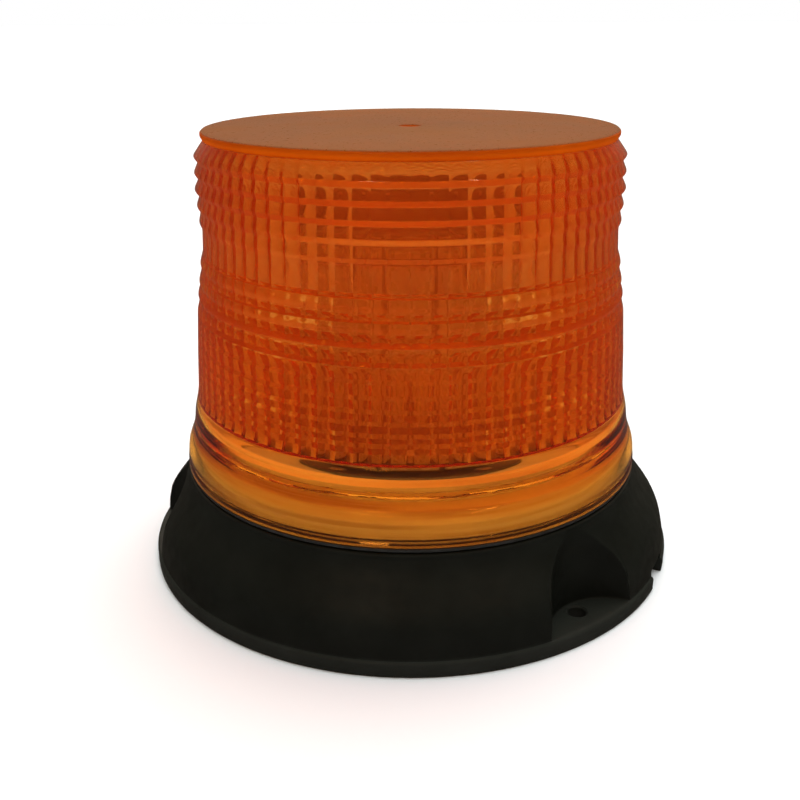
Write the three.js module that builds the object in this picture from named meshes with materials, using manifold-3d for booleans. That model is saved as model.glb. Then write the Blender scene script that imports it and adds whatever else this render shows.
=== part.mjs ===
// Amber LED warning beacon: a screw-on lens over an LED tower on a flared black base.
// Units are millimetres, +Z is up, and the origin is the centre of the base's underside.
// The front of the beacon looks along -Y.  A bearing is measured from the front towards +X.
import * as THREE from "three";
import { mergeVertices } from "three/addons/utils/BufferGeometryUtils.js";
import Module from "manifold-3d";

const wasm = await Module();
wasm.setup();

// ---- Driving dimensions -------------------------------------------------------------------
const TOP_RADIUS = 60; // flat top disc of the lens
const TOP_HEIGHT = 130.7; // underside of the base to the top disc
const BASE_RADIUS = 82.6; // foot of the base
const SHOULDER_RADIUS = 71; // top of the bell, where the lens flange sits
const SHOULDER_HEIGHT = 29.6;
const GAP = 0.3; // running gap between neighbouring pieces
const ROUND = 48; // sides of a large round piece
const LENS_ROUND = 36; // sides of the lens, which has many rings

const BELL_WALL = 2.8;
const DECK_THICKNESS = 3; // the base's own floor under the LED tower
const DECK_UNDERSIDE = SHOULDER_HEIGHT - DECK_THICKNESS;

const THREAD_PITCH = 3; // right-handed, single start
const THREAD_TURNS = 1.25;
const THREAD_BOTTOM = 43.2; // middle of the collar's ridge at its lower end
const COLLAR_RADIUS = 63.2; // threaded neck, without its ridge
const COLLAR_TOP = 48;
const LENS_BOTTOM = 31.2;
const LENS_THREAD_RADIUS = 65; // inside of the lens skirt behind its ridge

const POCKET_BEARINGS = [38.5, 158.5, -81.5]; // the three mounting-screw pockets, in degrees
const POCKET_CENTRE = 89; // distance of a pocket's own axis from the beacon's axis
const POCKET_RADIUS = 18;
const POCKET_FLOOR = 4.6;
const MOUNT_HOLE_CIRCLE = 74.7; // radius of the circle that the mounting holes lie on
const MOUNT_HOLE_RADIUS = 2.6;
const NOTCH_BEARING = 65; // lead notch in the rim
const NOTCH_WIDTH = 12;
const NOTCH_HEIGHT = 6.5;

const WELL_RADIUS = 46; // outside of the electronics well under the deck
const WELL_WALL = 2.5;
const WELL_BOTTOM = 7.5;

const TOWER_SIDES = 8;
const TOWER_FLAT = 22; // axis to a flat of the aluminium core
const TOWER_BOTTOM = 34;
const TOWER_TOP = 100;

// ---- Materials ----------------------------------------------------------------------------
function finish(color, roughness, metalness = 0) {
  return new THREE.MeshStandardMaterial({ color, roughness, metalness });
}
const amber = finish(0xd9780c, 0.15);
const blackPlastic = finish(0x1c1c1a, 0.6);
const ivoryPlastic = finish(0xe8dfc6, 0.5);
const blackRubber = finish(0x161616, 0.85);
const steel = finish(0xa9abad, 0.3, 1);
const aluminium = finish(0xb9bcbf, 0.35, 1);
const plateWhite = finish(0xe6e2d6, 0.4);
const boardWhite = finish(0xe4e5e0, 0.45);
const boardGreen = finish(0x1f5a36, 0.5);
const clearOptic = finish(0xdfe6e8, 0.08);
const componentBlack = finish(0x202124, 0.5);
const canSleeve = finish(0x2a2f5a, 0.4);
const copper = finish(0xb0653a, 0.4, 1);
const redWire = finish(0xb01822, 0.5);
const blackWire = finish(0x141414, 0.5);

// ---- Small geometry helpers ---------------------------------------------------------------
const radians = THREE.MathUtils.degToRad;

// A point at a radius and bearing, seen from above.
function around(radius, bearing, z = 0) {
  const a = radians(bearing);
  return new THREE.Vector3(radius * Math.sin(a), -radius * Math.cos(a), z);
}

// A closed three.js geometry as a solid that can be joined and cut.
function solid(geometry) {
  const bare = geometry.index ? geometry.toNonIndexed() : geometry.clone();
  bare.deleteAttribute("normal");
  bare.deleteAttribute("uv");
  const merged = mergeVertices(bare, 1e-4);
  return new wasm.Manifold(
    new wasm.Mesh({
      numProp: 3,
      vertProperties: merged.attributes.position.array,
      triVerts: new Uint32Array(merged.index.array),
    }),
  );
}

// A solid back to a geometry that a mesh can show.
function geometryOf(manifold) {
  const { vertProperties, triVerts } = manifold.getMesh();
  const geometry = new THREE.BufferGeometry();
  geometry.setAttribute("position", new THREE.BufferAttribute(vertProperties, 3));
  geometry.setIndex(new THREE.BufferAttribute(triVerts, 1));
  geometry.computeVertexNormals();
  return geometry;
}

// A ring or disc: [radius, z] points anticlockwise in the half-plane, turned about +Z.
function turned(profile, sides = ROUND) {
  const points = profile.map(([radius, z]) => new THREE.Vector2(radius, z));
  const first = points[0];
  const last = points[points.length - 1];
  const onAxis = first.x === 0 && last.x === 0;
  if (!onAxis) points.push(first.clone());
  return new THREE.LatheGeometry(points, sides).rotateX(Math.PI / 2);
}

function cylinder(radius, bottom, top, centre = new THREE.Vector3(), sides = 20) {
  return new THREE.CylinderGeometry(radius, radius, top - bottom, sides)
    .rotateX(Math.PI / 2)
    .translate(centre.x, centre.y, (bottom + top) / 2);
}

function block(width, depth, bottom, top) {
  return new THREE.BoxGeometry(width, depth, top - bottom).translate(0, 0, (bottom + top) / 2);
}

function part(name, shape, material) {
  const geometry = shape.isBufferGeometry ? shape : geometryOf(shape);
  const made = new THREE.Mesh(geometry, material);
  made.name = name;
  return made;
}

// Several solids joined into one.
function joined(solids) {
  return solids.reduce((whole, next) => whole.add(next));
}

// A solid with a list of others cut out of it.
function cut(whole, tools) {
  return tools.reduce((left, tool) => left.subtract(tool), whole);
}

// ---- Screw thread -------------------------------------------------------------------------
class Helix extends THREE.Curve {
  constructor(radius, bottom, turns) {
    super();
    this.radius = radius;
    this.bottom = bottom;
    this.turns = turns;
  }
  getPoint(t, target = new THREE.Vector3()) {
    const angle = 2 * Math.PI * this.turns * t;
    const z = this.bottom + THREAD_PITCH * this.turns * t;
    return target.set(this.radius * Math.cos(angle), this.radius * Math.sin(angle), z);
  }
}

// One ridge with a trapezium section.  A positive height points at the axis, and the root is
// sunk into the wall it stands on.
function threadRidge(wallRadius, bottom, height) {
  const root = 0.7;
  const crest = 0.3;
  const sunk = -0.5 * Math.sign(height);
  const section = new THREE.Shape();
  section.moveTo(sunk, -root);
  section.lineTo(height, -crest);
  section.lineTo(height, crest);
  section.lineTo(sunk, root);
  section.closePath();
  return solid(
    new THREE.ExtrudeGeometry(section, {
      steps: Math.round(THREAD_TURNS * ROUND * 0.8),
      bevelEnabled: false,
      extrudePath: new Helix(wallRadius, bottom, THREAD_TURNS),
    }),
  );
}

// ---- Screws -------------------------------------------------------------------------------
// A pan-head screw under a head seat at z, pointing down, or up when it is turned over.
function screw(name, centre, seat, length, shank, upwards = false) {
  const head = shank * 1.9;
  const thick = shank * 1.1;
  const body = turned(
    [
      [0, -length],
      [shank, -length],
      [shank, 0],
      [head, 0],
      [head * 0.8, thick],
      [0, thick],
    ],
    10,
  );
  const made = part(name, body, steel);
  made.position.set(centre.x, centre.y, seat);
  if (upwards) made.rotation.x = Math.PI;
  return made;
}

// ---- Lens ---------------------------------------------------------------------------------
// Outside of the lens from the top disc down to the flange, as [radius, z].
function lensOutside() {
  const outside = [
    [TOP_RADIUS - 0.5, TOP_HEIGHT],
    [TOP_RADIUS, TOP_HEIGHT - 0.5],
    [TOP_RADIUS, TOP_HEIGHT - 1.4],
    [TOP_RADIUS - 0.6, TOP_HEIGHT - 2.6],
  ];
  const sawtooth = [62.2, 62.3, 62.5, 62.2, 61.9];
  sawtooth.forEach((crest, i) => {
    const z = TOP_HEIGHT - 6.8 - i * 4.6;
    outside.push([crest, z], [61.1 + 0.05 * i, z - 2.1]);
  });
  outside.push([61.2, 102.4], [61.5, 96.6]);
  for (const [crest, z] of [[62.5, 93.2], [63.2, 88], [63.8, 84]]) {
    outside.push([crest, z], [crest - 0.35, z - 1.4]);
  }
  outside.push([64.3, 79.3], [65.2, 67], [65.9, 54.4]);
  outside.push([66.5, 51.2], [67.4, 48.1], [67.7, 44.6], [68.6, 41], [70.2, 37.5]);
  outside.push([SHOULDER_RADIUS - 0.4, 33.5], [SHOULDER_RADIUS - 0.4, LENS_BOTTOM]);
  return outside;
}

function lens() {
  const underDisc = TOP_HEIGHT - 2.6;
  const inside = [
    [68.2, LENS_BOTTOM],
    [68, 36],
    [66, 40.2],
    [LENS_THREAD_RADIUS, 41],
    [LENS_THREAD_RADIUS, 50],
    [63.5, 53],
    [62.6, 76],
    [60, 98],
    [58.7, 105],
    [57.4, underDisc - 3],
    [55, underDisc],
    [0, underDisc],
  ];
  const profile = [[0, TOP_HEIGHT - 0.6], [3, TOP_HEIGHT - 0.6], [3.4, TOP_HEIGHT]];
  const shell = turned([...profile, ...lensOutside(), ...inside].reverse(), LENS_ROUND);
  const underCollarRidge = THREAD_BOTTOM - THREAD_PITCH / 2;
  const ridge = threadRidge(LENS_THREAD_RADIUS, underCollarRidge, 1.1);
  return part("lens", solid(shell).add(ridge), amber);
}

// ---- Threaded collar, its screws and the lens seal ----------------------------------------
const COLLAR_FOOT = SHOULDER_HEIGHT + GAP;
const COLLAR_SCREW_CIRCLE = 57.5;
const COLLAR_SCREW_BEARINGS = [0, 120, 240];

function collar() {
  const wall = turned([
    [54, COLLAR_FOOT],
    [66, COLLAR_FOOT],
    [66, 36],
    [65, 39.4],
    [COLLAR_RADIUS, 41.2],
    [COLLAR_RADIUS, COLLAR_TOP - 0.6],
    [COLLAR_RADIUS - 0.6, COLLAR_TOP],
    [61, COLLAR_TOP],
    [61, COLLAR_FOOT + 2.6],
    [54, COLLAR_FOOT + 2.6],
  ]);
  const ridge = threadRidge(COLLAR_RADIUS, THREAD_BOTTOM, -1.2);
  const holes = COLLAR_SCREW_BEARINGS.map((bearing) => {
    const centre = around(COLLAR_SCREW_CIRCLE, bearing);
    return solid(cylinder(1.9, COLLAR_FOOT - 1, COLLAR_FOOT + 4, centre, 16));
  });
  return part("threaded_collar", cut(solid(wall).add(ridge), holes), ivoryPlastic);
}

// Flat gasket between the bell's shoulder and the lens flange.
const PLATE_THICKNESS = 1.2;

// A pale plate lies on the deck between the tower's foot and the collar.
function deckPlate() {
  const inner = 35;
  const outer = 53.5;
  const plate = turned([
    [inner, COLLAR_FOOT],
    [outer, COLLAR_FOOT],
    [outer, COLLAR_FOOT + PLATE_THICKNESS],
    [inner, COLLAR_FOOT + PLATE_THICKNESS],
  ]);
  return part("deck_plate", plate, plateWhite);
}

function lensSeal() {
  const bottom = SHOULDER_HEIGHT + GAP;
  const top = LENS_BOTTOM - GAP;
  const ring = turned([[66.6, bottom], [70.2, bottom], [70.2, top], [66.6, top]]);
  return part("lens_seal", ring, blackRubber);
}

// ---- Base housing -------------------------------------------------------------------------
// Outside of the bell from its foot to the shoulder.
const BELL_OUTSIDE = [
  [BASE_RADIUS, 0],
  [BASE_RADIUS, 3.8],
  [BASE_RADIUS - 0.7, 4.6],
  [81.6, 8],
  [80.2, 13.8],
  [78.5, 16.9],
  [76.3, 19.7],
  [73.9, 22.6],
  [72.1, 25.6],
  [SHOULDER_RADIUS, 28.6],
  [SHOULDER_RADIUS, SHOULDER_HEIGHT],
];

function bellOutsideSolid() {
  return solid(turned([[0, 0], ...BELL_OUTSIDE, [0, SHOULDER_HEIGHT]]));
}

function bellInsideSolid() {
  const inner = BELL_OUTSIDE.slice(3, 9).map(([r, z]) => [r - BELL_WALL, z - 1]);
  const foot = BASE_RADIUS - BELL_WALL - 0.4;
  const below = [[0, -1], [foot, -1], [foot, 5]];
  return solid(turned([...below, ...inner, [68.4, DECK_UNDERSIDE], [0, DECK_UNDERSIDE]]));
}

const BOARD_SCREW_BEARINGS = [30, 150, 270];
const BOARD_SCREW_CIRCLE = 33;
const COVER_SCREW_BEARINGS = [0, 90, 180, 270];
const COVER_SCREW_CIRCLE = 40.5;
const TOWER_SCREW_BEARINGS = [45, 135, 225, 315];
const TOWER_SCREW_CIRCLE = 30.5;
const LARGE_SHANK = 1.5; // radius of the screws of the collar and the tower's foot
const SMALL_SHANK = 1.25;
const LEAD_BEARINGS = [-26, -34]; // where the two leads leave the well, side by side
const GROMMET_BEARING = -30;
const GROMMET_Z = 15;

function baseHousing() {
  const bell = bellOutsideSolid();
  const pocketWalls = POCKET_BEARINGS.map((bearing) => {
    const centre = around(POCKET_CENTRE, bearing);
    return solid(cylinder(POCKET_RADIUS + BELL_WALL, 0, SHOULDER_HEIGHT, centre, 30)).intersect(bell);
  });
  const well = solid(
    turned([
      [WELL_RADIUS - WELL_WALL, WELL_BOTTOM],
      [WELL_RADIUS, WELL_BOTTOM],
      [WELL_RADIUS, DECK_UNDERSIDE + 1],
      [WELL_RADIUS - WELL_WALL, DECK_UNDERSIDE + 1],
    ]),
  );
  const boardBosses = BOARD_SCREW_BEARINGS.map((bearing) =>
    solid(cylinder(3.4, 20.4, DECK_UNDERSIDE + 1, around(BOARD_SCREW_CIRCLE, bearing), 16)),
  );
  const coverBosses = COVER_SCREW_BEARINGS.map((bearing) =>
    solid(cylinder(3.6, WELL_BOTTOM, DECK_UNDERSIDE + 1, around(COVER_SCREW_CIRCLE, bearing), 16)),
  );
  const walls = joined([
    bell.subtract(bellInsideSolid()),
    ...pocketWalls,
    well,
    ...boardBosses,
    ...coverBosses,
  ]);

  const pockets = POCKET_BEARINGS.map((bearing) => {
    const centre = around(POCKET_CENTRE, bearing);
    return solid(cylinder(POCKET_RADIUS, POCKET_FLOOR, SHOULDER_HEIGHT - 0.9, centre, 30));
  });
  const mountHoles = POCKET_BEARINGS.map((bearing) =>
    solid(cylinder(MOUNT_HOLE_RADIUS, -1, POCKET_FLOOR + 1, around(MOUNT_HOLE_CIRCLE, bearing), 16)),
  );
  const notch = solid(
    block(NOTCH_WIDTH, 16, -1, NOTCH_HEIGHT)
      .translate(0, -BASE_RADIUS + 1, 0)
      .rotateZ(radians(NOTCH_BEARING)),
  );
  const wireHole = solid(cylinder(7, DECK_UNDERSIDE - 1, SHOULDER_HEIGHT + 1));
  const grommetHole = solid(
    new THREE.CylinderGeometry(5.3, 5.3, 12, 20)
      .translate(0, -WELL_RADIUS, 0)
      .translate(0, 0, GROMMET_Z)
      .rotateZ(radians(GROMMET_BEARING)),
  );
  const boardScrewHoles = BOARD_SCREW_BEARINGS.map((bearing) =>
    solid(cylinder(1.6, 19, DECK_UNDERSIDE, around(BOARD_SCREW_CIRCLE, bearing), 8)),
  );
  const coverScrewHoles = COVER_SCREW_BEARINGS.map((bearing) =>
    solid(cylinder(1.6, WELL_BOTTOM - 1, 18, around(COVER_SCREW_CIRCLE, bearing), 8)),
  );
  const towerScrewHoles = TOWER_SCREW_BEARINGS.map((bearing) =>
    solid(cylinder(1.9, DECK_UNDERSIDE - 1, SHOULDER_HEIGHT + 1, around(TOWER_SCREW_CIRCLE, bearing), 8)),
  );
  const collarScrewHoles = COLLAR_SCREW_BEARINGS.map((bearing) =>
    solid(
      cylinder(1.9, DECK_UNDERSIDE - 1, SHOULDER_HEIGHT + 1, around(COLLAR_SCREW_CIRCLE, bearing), 8),
    ),
  );
  return part(
    "base_housing",
    cut(walls, [
      ...pockets,
      ...mountHoles,
      notch,
      wireHole,
      grommetHole,
      ...boardScrewHoles,
      ...coverScrewHoles,
      ...towerScrewHoles,
      ...collarScrewHoles,
    ]),
    blackPlastic,
  );
}

// ---- LED tower ----------------------------------------------------------------------------
const BOARD_THICKNESS = 1.6;
const FACE_WIDTH = 2 * TOWER_FLAT * Math.tan(Math.PI / TOWER_SIDES);

// A regular prism with a flat facing the front.
function prism(flat, bottom, top) {
  const corner = flat / Math.cos(Math.PI / TOWER_SIDES);
  return cylinder(corner, bottom, top, new THREE.Vector3(), TOWER_SIDES).rotateZ(
    Math.PI / TOWER_SIDES,
  );
}

// The core: a hollow octagon with a round foot flange, screwed to the deck.
function towerCore() {
  const foot = solid(cylinder(34.5, SHOULDER_HEIGHT + GAP, TOWER_BOTTOM, undefined, 48));
  const column = solid(prism(TOWER_FLAT, TOWER_BOTTOM - 1, TOWER_TOP));
  const bore = solid(cylinder(13, SHOULDER_HEIGHT, TOWER_TOP + 1, undefined, 32));
  const screwHoles = TOWER_SCREW_BEARINGS.map((bearing) =>
    solid(cylinder(1.9, SHOULDER_HEIGHT, TOWER_BOTTOM + 1, around(TOWER_SCREW_CIRCLE, bearing), 8)),
  );
  const capHoles = CAP_SCREW_BEARINGS.map((bearing) =>
    solid(cylinder(1.6, TOWER_TOP - 9, TOWER_TOP + 1, around(CAP_SCREW_CIRCLE, bearing), 8)),
  );
  return part("tower_core", cut(foot.add(column), [bore, ...screwHoles, ...capHoles]), aluminium);
}

const CAP_SCREW_CIRCLE = 17.2;
const CAP_SCREW_BEARINGS = [90, 270];

function towerCap() {
  const bottom = TOWER_TOP + GAP;
  const plate = solid(
    turned(
      [
        [0, bottom],
        [28.6, bottom],
        [28.6, bottom + 1.4],
        [27.8, bottom + 2.2],
        [0, bottom + 2.2],
      ],
      48,
    ),
  );
  const holes = CAP_SCREW_BEARINGS.map((bearing) =>
    solid(cylinder(1.9, bottom - 1, bottom + 4, around(CAP_SCREW_CIRCLE, bearing), 8)),
  );
  return part("tower_cap", cut(plate, holes), aluminium);
}

// One side of the tower: a white circuit board with a clear strip optic over its LEDs.
function towerSide(index) {
  const side = new THREE.Group();
  side.rotation.z = (2 * Math.PI * index) / TOWER_SIDES;
  const bottom = TOWER_BOTTOM + 3;
  const top = TOWER_TOP - 1;
  const board = part(
    `led_board_${index + 1}`,
    block(FACE_WIDTH - 1.6, BOARD_THICKNESS, bottom, top),
    boardWhite,
  );
  board.position.y = -(TOWER_FLAT + GAP + BOARD_THICKNESS / 2);
  side.add(board, ledOptic(index, bottom, top));
  return side;
}

// The clear strip: a frame with a bowed face, hollow behind to clear the LEDs.
function ledOptic(index, bottom, top) {
  const width = 13;
  const section = new THREE.Shape();
  section.moveTo(-width / 2, 0);
  section.lineTo(width / 2, 0);
  section.quadraticCurveTo(width / 2 - 0.5, 4.2, 0, 4.6);
  section.quadraticCurveTo(-width / 2 + 0.5, 4.2, -width / 2, 0);
  const strip = solid(
    new THREE.ExtrudeGeometry(section, {
      depth: top - bottom - 4,
      bevelEnabled: false,
      curveSegments: 5,
    }).rotateZ(Math.PI),
  );
  const hollow = solid(block(7, 4.4, 4, top - bottom - 8));
  const optic = part(`led_optic_${index + 1}`, strip.subtract(hollow), clearOptic);
  optic.position.set(0, -(TOWER_FLAT + 2 * GAP + BOARD_THICKNESS), bottom + 2);
  return optic;
}

// ---- Electronics in the well --------------------------------------------------------------
const DRIVER_TOP = 20.1;

function driverBoard() {
  const disc = solid(cylinder(36.5, DRIVER_TOP - BOARD_THICKNESS, DRIVER_TOP, undefined, 40));
  const holes = BOARD_SCREW_BEARINGS.map((bearing) =>
    solid(cylinder(1.9, DRIVER_TOP - 3, DRIVER_TOP + 1, around(BOARD_SCREW_CIRCLE, bearing), 8)),
  );
  const bossCuts = COVER_SCREW_BEARINGS.map((bearing) =>
    solid(cylinder(4.4, DRIVER_TOP - 3, DRIVER_TOP + 1, around(COVER_SCREW_CIRCLE, bearing), 16)),
  );
  return part("driver_board", cut(disc, [...holes, ...bossCuts]), boardGreen);
}

// Parts on the board's underside stand this far below it.
const DRIVER_FACE = DRIVER_TOP - BOARD_THICKNESS - GAP;

function capacitor(name, x, y) {
  const low = DRIVER_FACE - 7.6;
  const can = turned(
    [
      [0, low],
      [3.6, low],
      [4, low + 0.4],
      [4, DRIVER_FACE - 1],
      [3.7, DRIVER_FACE - 0.6],
      [4, DRIVER_FACE],
      [0, DRIVER_FACE],
    ],
    12,
  );
  return part(name, can.translate(x, y, 0), canSleeve);
}

function inductor() {
  const ring = turned(
    [
      [2.6, DRIVER_FACE - 5.6],
      [6, DRIVER_FACE - 5.6],
      [6.8, DRIVER_FACE - 4.8],
      [6.8, DRIVER_FACE],
      [2.6, DRIVER_FACE],
    ],
    16,
  );
  return part("inductor", ring.translate(14, -16, 0), copper);
}

function terminalBlock() {
  const body = solid(block(15, 8, DRIVER_FACE - 6.4, DRIVER_FACE));
  const mouths = [-3.6, 3.6].map((x) =>
    solid(block(4, 6, DRIVER_FACE - 5.4, DRIVER_FACE - 1.4).translate(x, -3, 0)),
  );
  const made = part("terminal_block", cut(body, mouths), componentBlack);
  const place = around(26, GROMMET_BEARING);
  made.position.set(place.x, place.y, 0);
  made.rotation.z = radians(GROMMET_BEARING);
  return made;
}

function powerTransistor(name, x, y) {
  return part(name, block(9, 6, DRIVER_FACE - 2.4, DRIVER_FACE).translate(x, y, 0), componentBlack);
}

const COVER_TOP = WELL_BOTTOM - 2 * GAP - 0.9;

function coverSeal() {
  const ring = turned([
    [WELL_RADIUS - WELL_WALL + 0.3, COVER_TOP + GAP],
    [WELL_RADIUS - 0.3, COVER_TOP + GAP],
    [WELL_RADIUS - 0.3, COVER_TOP + GAP + 0.9],
    [WELL_RADIUS - WELL_WALL + 0.3, COVER_TOP + GAP + 0.9],
  ]);
  return part("well_cover_seal", ring, blackRubber);
}

function wellCover() {
  const disc = solid(cylinder(WELL_RADIUS + 1, COVER_TOP - 2, COVER_TOP, undefined, ROUND));
  const holes = COVER_SCREW_BEARINGS.map((bearing) =>
    solid(cylinder(1.9, COVER_TOP - 3, COVER_TOP + 1, around(COVER_SCREW_CIRCLE, bearing), 8)),
  );
  return part("well_cover", cut(disc, holes), blackPlastic);
}

// ---- Lead grommet and supply leads --------------------------------------------------------
const WIRE_RADIUS = 1.1;
const LEAD_APART = 3.4; // between the two leads in the grommet
const GROMMET_OUT = WELL_RADIUS + 2.6; // outer face of the grommet

function grommet() {
  const inside = WELL_RADIUS - WELL_WALL - 3;
  const profile = [
    [0, inside],
    [6.8, inside],
    [6.8, inside + 1.8],
    [5, inside + 1.8],
    [5, WELL_RADIUS + 0.4],
    [7, WELL_RADIUS + 0.4],
    [6.2, GROMMET_OUT],
    [0, GROMMET_OUT],
  ];
  const bores = [-1, 1].map((sideways) =>
    solid(
      new THREE.CylinderGeometry(WIRE_RADIUS + 0.3, WIRE_RADIUS + 0.3, 20, 12).translate(
        (sideways * LEAD_APART) / 2,
        WELL_RADIUS,
        0,
      ),
    ),
  );
  const axle = new THREE.LatheGeometry(
    profile.map(([radius, along]) => new THREE.Vector2(radius, along)),
    14,
  );
  const made = part("lead_grommet", cut(solid(axle), bores), blackRubber);
  made.position.z = GROMMET_Z;
  made.rotation.z = radians(GROMMET_BEARING) + Math.PI;
  return made;
}

// Route of a free lead: out of the grommet, down to the surface, and along the bell's wall.
function leadRoute(sideways, laps) {
  const out = around(1, GROMMET_BEARING);
  const across = new THREE.Vector3(-out.y, out.x, 0);
  const start = out
    .clone()
    .multiplyScalar(GROMMET_OUT + GAP)
    .addScaledVector(across, (sideways * LEAD_APART) / 2);
  start.z = GROMMET_Z;
  const straight = start.clone().addScaledVector(out, 3);
  return [start, straight, ...laps.map(([radius, bearing, z]) => around(radius, bearing, z))];
}

const ON_SURFACE = WIRE_RADIUS + 0.05;
const RED_ROUTE = leadRoute(1, [
  [56.5, -28, 13.2],
  [61, -24, 8.6],
  [64.5, -18, 4.2],
  [66.5, -10, 1.7],
  [67.3, 0, ON_SURFACE],
  [67.2, 12, ON_SURFACE],
  [65, 22, ON_SURFACE],
  [64, 31, ON_SURFACE],
  [64.6, 40, ON_SURFACE],
  [68.5, 49, ON_SURFACE],
  [72, 57, ON_SURFACE],
  [73.6, 65, ON_SURFACE],
  [73.4, 73, ON_SURFACE],
  [72, 82, ON_SURFACE],
  [70.4, 93, ON_SURFACE],
  [69.4, 105, ON_SURFACE],
  [68.6, 117, ON_SURFACE],
  [67.2, 129, ON_SURFACE],
  [65.4, 140, ON_SURFACE],
  [64.6, 151, ON_SURFACE],
  [64.6, 162, ON_SURFACE],
  [65.2, 173, ON_SURFACE],
  [66.6, 184, ON_SURFACE],
]);
const BLACK_ROUTE = leadRoute(-1, [
  [56, -34.6, 13],
  [59.4, -33.6, 9],
  [62, -29.6, 4.8],
  [63, -22, 2],
  [62.2, -12, ON_SURFACE],
  [60.6, 0, ON_SURFACE],
  [59.6, 12, ON_SURFACE],
  [59.4, 24, ON_SURFACE],
  [59.8, 36, ON_SURFACE],
  [61.8, 48, ON_SURFACE],
  [65, 59, ON_SURFACE],
  [68.2, 69, ON_SURFACE],
  [68, 80, ON_SURFACE],
  [65.8, 91, ON_SURFACE],
  [63.8, 103, ON_SURFACE],
  [62.4, 115, ON_SURFACE],
  [61.2, 127, ON_SURFACE],
  [60.2, 139, ON_SURFACE],
  [59.8, 151, ON_SURFACE],
  [59.8, 163, ON_SURFACE],
  [60.2, 175, ON_SURFACE],
  [61.4, 187, ON_SURFACE],
]);

function lead(name, route, material) {
  const curve = new THREE.CatmullRomCurve3(route, false, "centripetal");
  const section = new THREE.Shape();
  section.absarc(0, 0, WIRE_RADIUS, 0, 2 * Math.PI);
  const tube = new THREE.ExtrudeGeometry(section, {
    steps: 56,
    curveSegments: 4,
    bevelEnabled: false,
    extrudePath: curve,
  });
  return part(name, tube, material);
}

// ---- Assembly -----------------------------------------------------------------------------
const beacon = new THREE.Group();
beacon.name = "warning_beacon";
beacon.add(lens(), lensSeal(), collar(), deckPlate(), baseHousing());
COLLAR_SCREW_BEARINGS.forEach((bearing, i) => {
  const place = around(COLLAR_SCREW_CIRCLE, bearing);
  beacon.add(screw(`collar_screw_${i + 1}`, place, COLLAR_FOOT + 2.6 + GAP, 7, LARGE_SHANK));
});
beacon.add(towerCore(), towerCap());
for (let i = 0; i < TOWER_SIDES; i += 1) beacon.add(towerSide(i));
TOWER_SCREW_BEARINGS.forEach((bearing, i) => {
  const place = around(TOWER_SCREW_CIRCLE, bearing);
  beacon.add(screw(`tower_screw_${i + 1}`, place, TOWER_BOTTOM + GAP, 8, LARGE_SHANK));
});
CAP_SCREW_BEARINGS.forEach((bearing, i) => {
  const place = around(CAP_SCREW_CIRCLE, bearing);
  beacon.add(screw(`cap_screw_${i + 1}`, place, TOWER_TOP + 2 * GAP + 2.2, 8, SMALL_SHANK));
});
beacon.add(driverBoard());
BOARD_SCREW_BEARINGS.forEach((bearing, i) => {
  const place = around(BOARD_SCREW_CIRCLE, bearing);
  const seat = DRIVER_TOP - BOARD_THICKNESS - GAP;
  beacon.add(screw(`board_screw_${i + 1}`, place, seat, 7, SMALL_SHANK, true));
});
beacon.add(capacitor("capacitor_1", -16, 12), capacitor("capacitor_2", -6, 18));
beacon.add(inductor(), terminalBlock());
beacon.add(powerTransistor("transistor_1", 14, 8), powerTransistor("transistor_2", 14, 18));
beacon.add(coverSeal(), wellCover());
COVER_SCREW_BEARINGS.forEach((bearing, i) => {
  const place = around(COVER_SCREW_CIRCLE, bearing);
  beacon.add(screw(`cover_screw_${i + 1}`, place, COVER_TOP - 2 - GAP, 9, SMALL_SHANK, true));
});
beacon.add(grommet());
beacon.add(lead("lead_red", RED_ROUTE, redWire), lead("lead_black", BLACK_ROUTE, blackWire));

export default beacon;
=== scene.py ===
"""Looks of the LED warning beacon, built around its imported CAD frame.

Lengths of the beacon are in millimetres and are turned into metres where a mesh is made. The
camera's, the lights' and the floor's are in metres. A bearing is an angle round the beacon from
its front (-Y) towards +X, in degrees.
"""

import math

import bpy
import numpy as np
from mathutils import Matrix, Vector


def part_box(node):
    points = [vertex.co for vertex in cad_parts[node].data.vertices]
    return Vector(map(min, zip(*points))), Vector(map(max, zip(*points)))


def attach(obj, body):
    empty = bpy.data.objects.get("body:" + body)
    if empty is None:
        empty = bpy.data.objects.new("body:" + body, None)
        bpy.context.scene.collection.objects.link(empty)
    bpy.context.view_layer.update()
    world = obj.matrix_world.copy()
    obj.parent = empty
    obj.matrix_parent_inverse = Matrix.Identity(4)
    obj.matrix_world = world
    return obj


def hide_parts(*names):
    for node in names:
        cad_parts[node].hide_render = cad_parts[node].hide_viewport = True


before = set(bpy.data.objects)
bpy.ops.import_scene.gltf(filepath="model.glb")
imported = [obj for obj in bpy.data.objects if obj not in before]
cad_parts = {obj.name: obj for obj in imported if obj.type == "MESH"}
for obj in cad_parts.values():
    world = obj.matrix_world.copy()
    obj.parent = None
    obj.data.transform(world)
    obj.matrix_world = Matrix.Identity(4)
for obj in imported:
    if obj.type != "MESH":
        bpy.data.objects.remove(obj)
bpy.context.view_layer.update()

MM = 0.001


def size_of(node):
    """Radius, bottom and top of a round CAD node, in millimetres."""
    low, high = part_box(node)
    return max(high.x, high.y) / MM, low.z / MM, high.z / MM


FLANGE_RADIUS, LENS_BOTTOM, LENS_TOP = size_of("lens")
FOOT_RADIUS, _, SHOULDER_Z = size_of("base_housing")
COLLAR_FOOT_RADIUS, COLLAR_BOTTOM, COLLAR_TOP = size_of("threaded_collar")
CAP_RADIUS, CAP_BOTTOM, CAP_TOP = size_of("tower_cap")
PRISM_BOTTOM = 51.6  # of the lens's rows of prisms, over its clear skirt
RIBS_TOP = 94.0  # of the lens's three ribs

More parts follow.
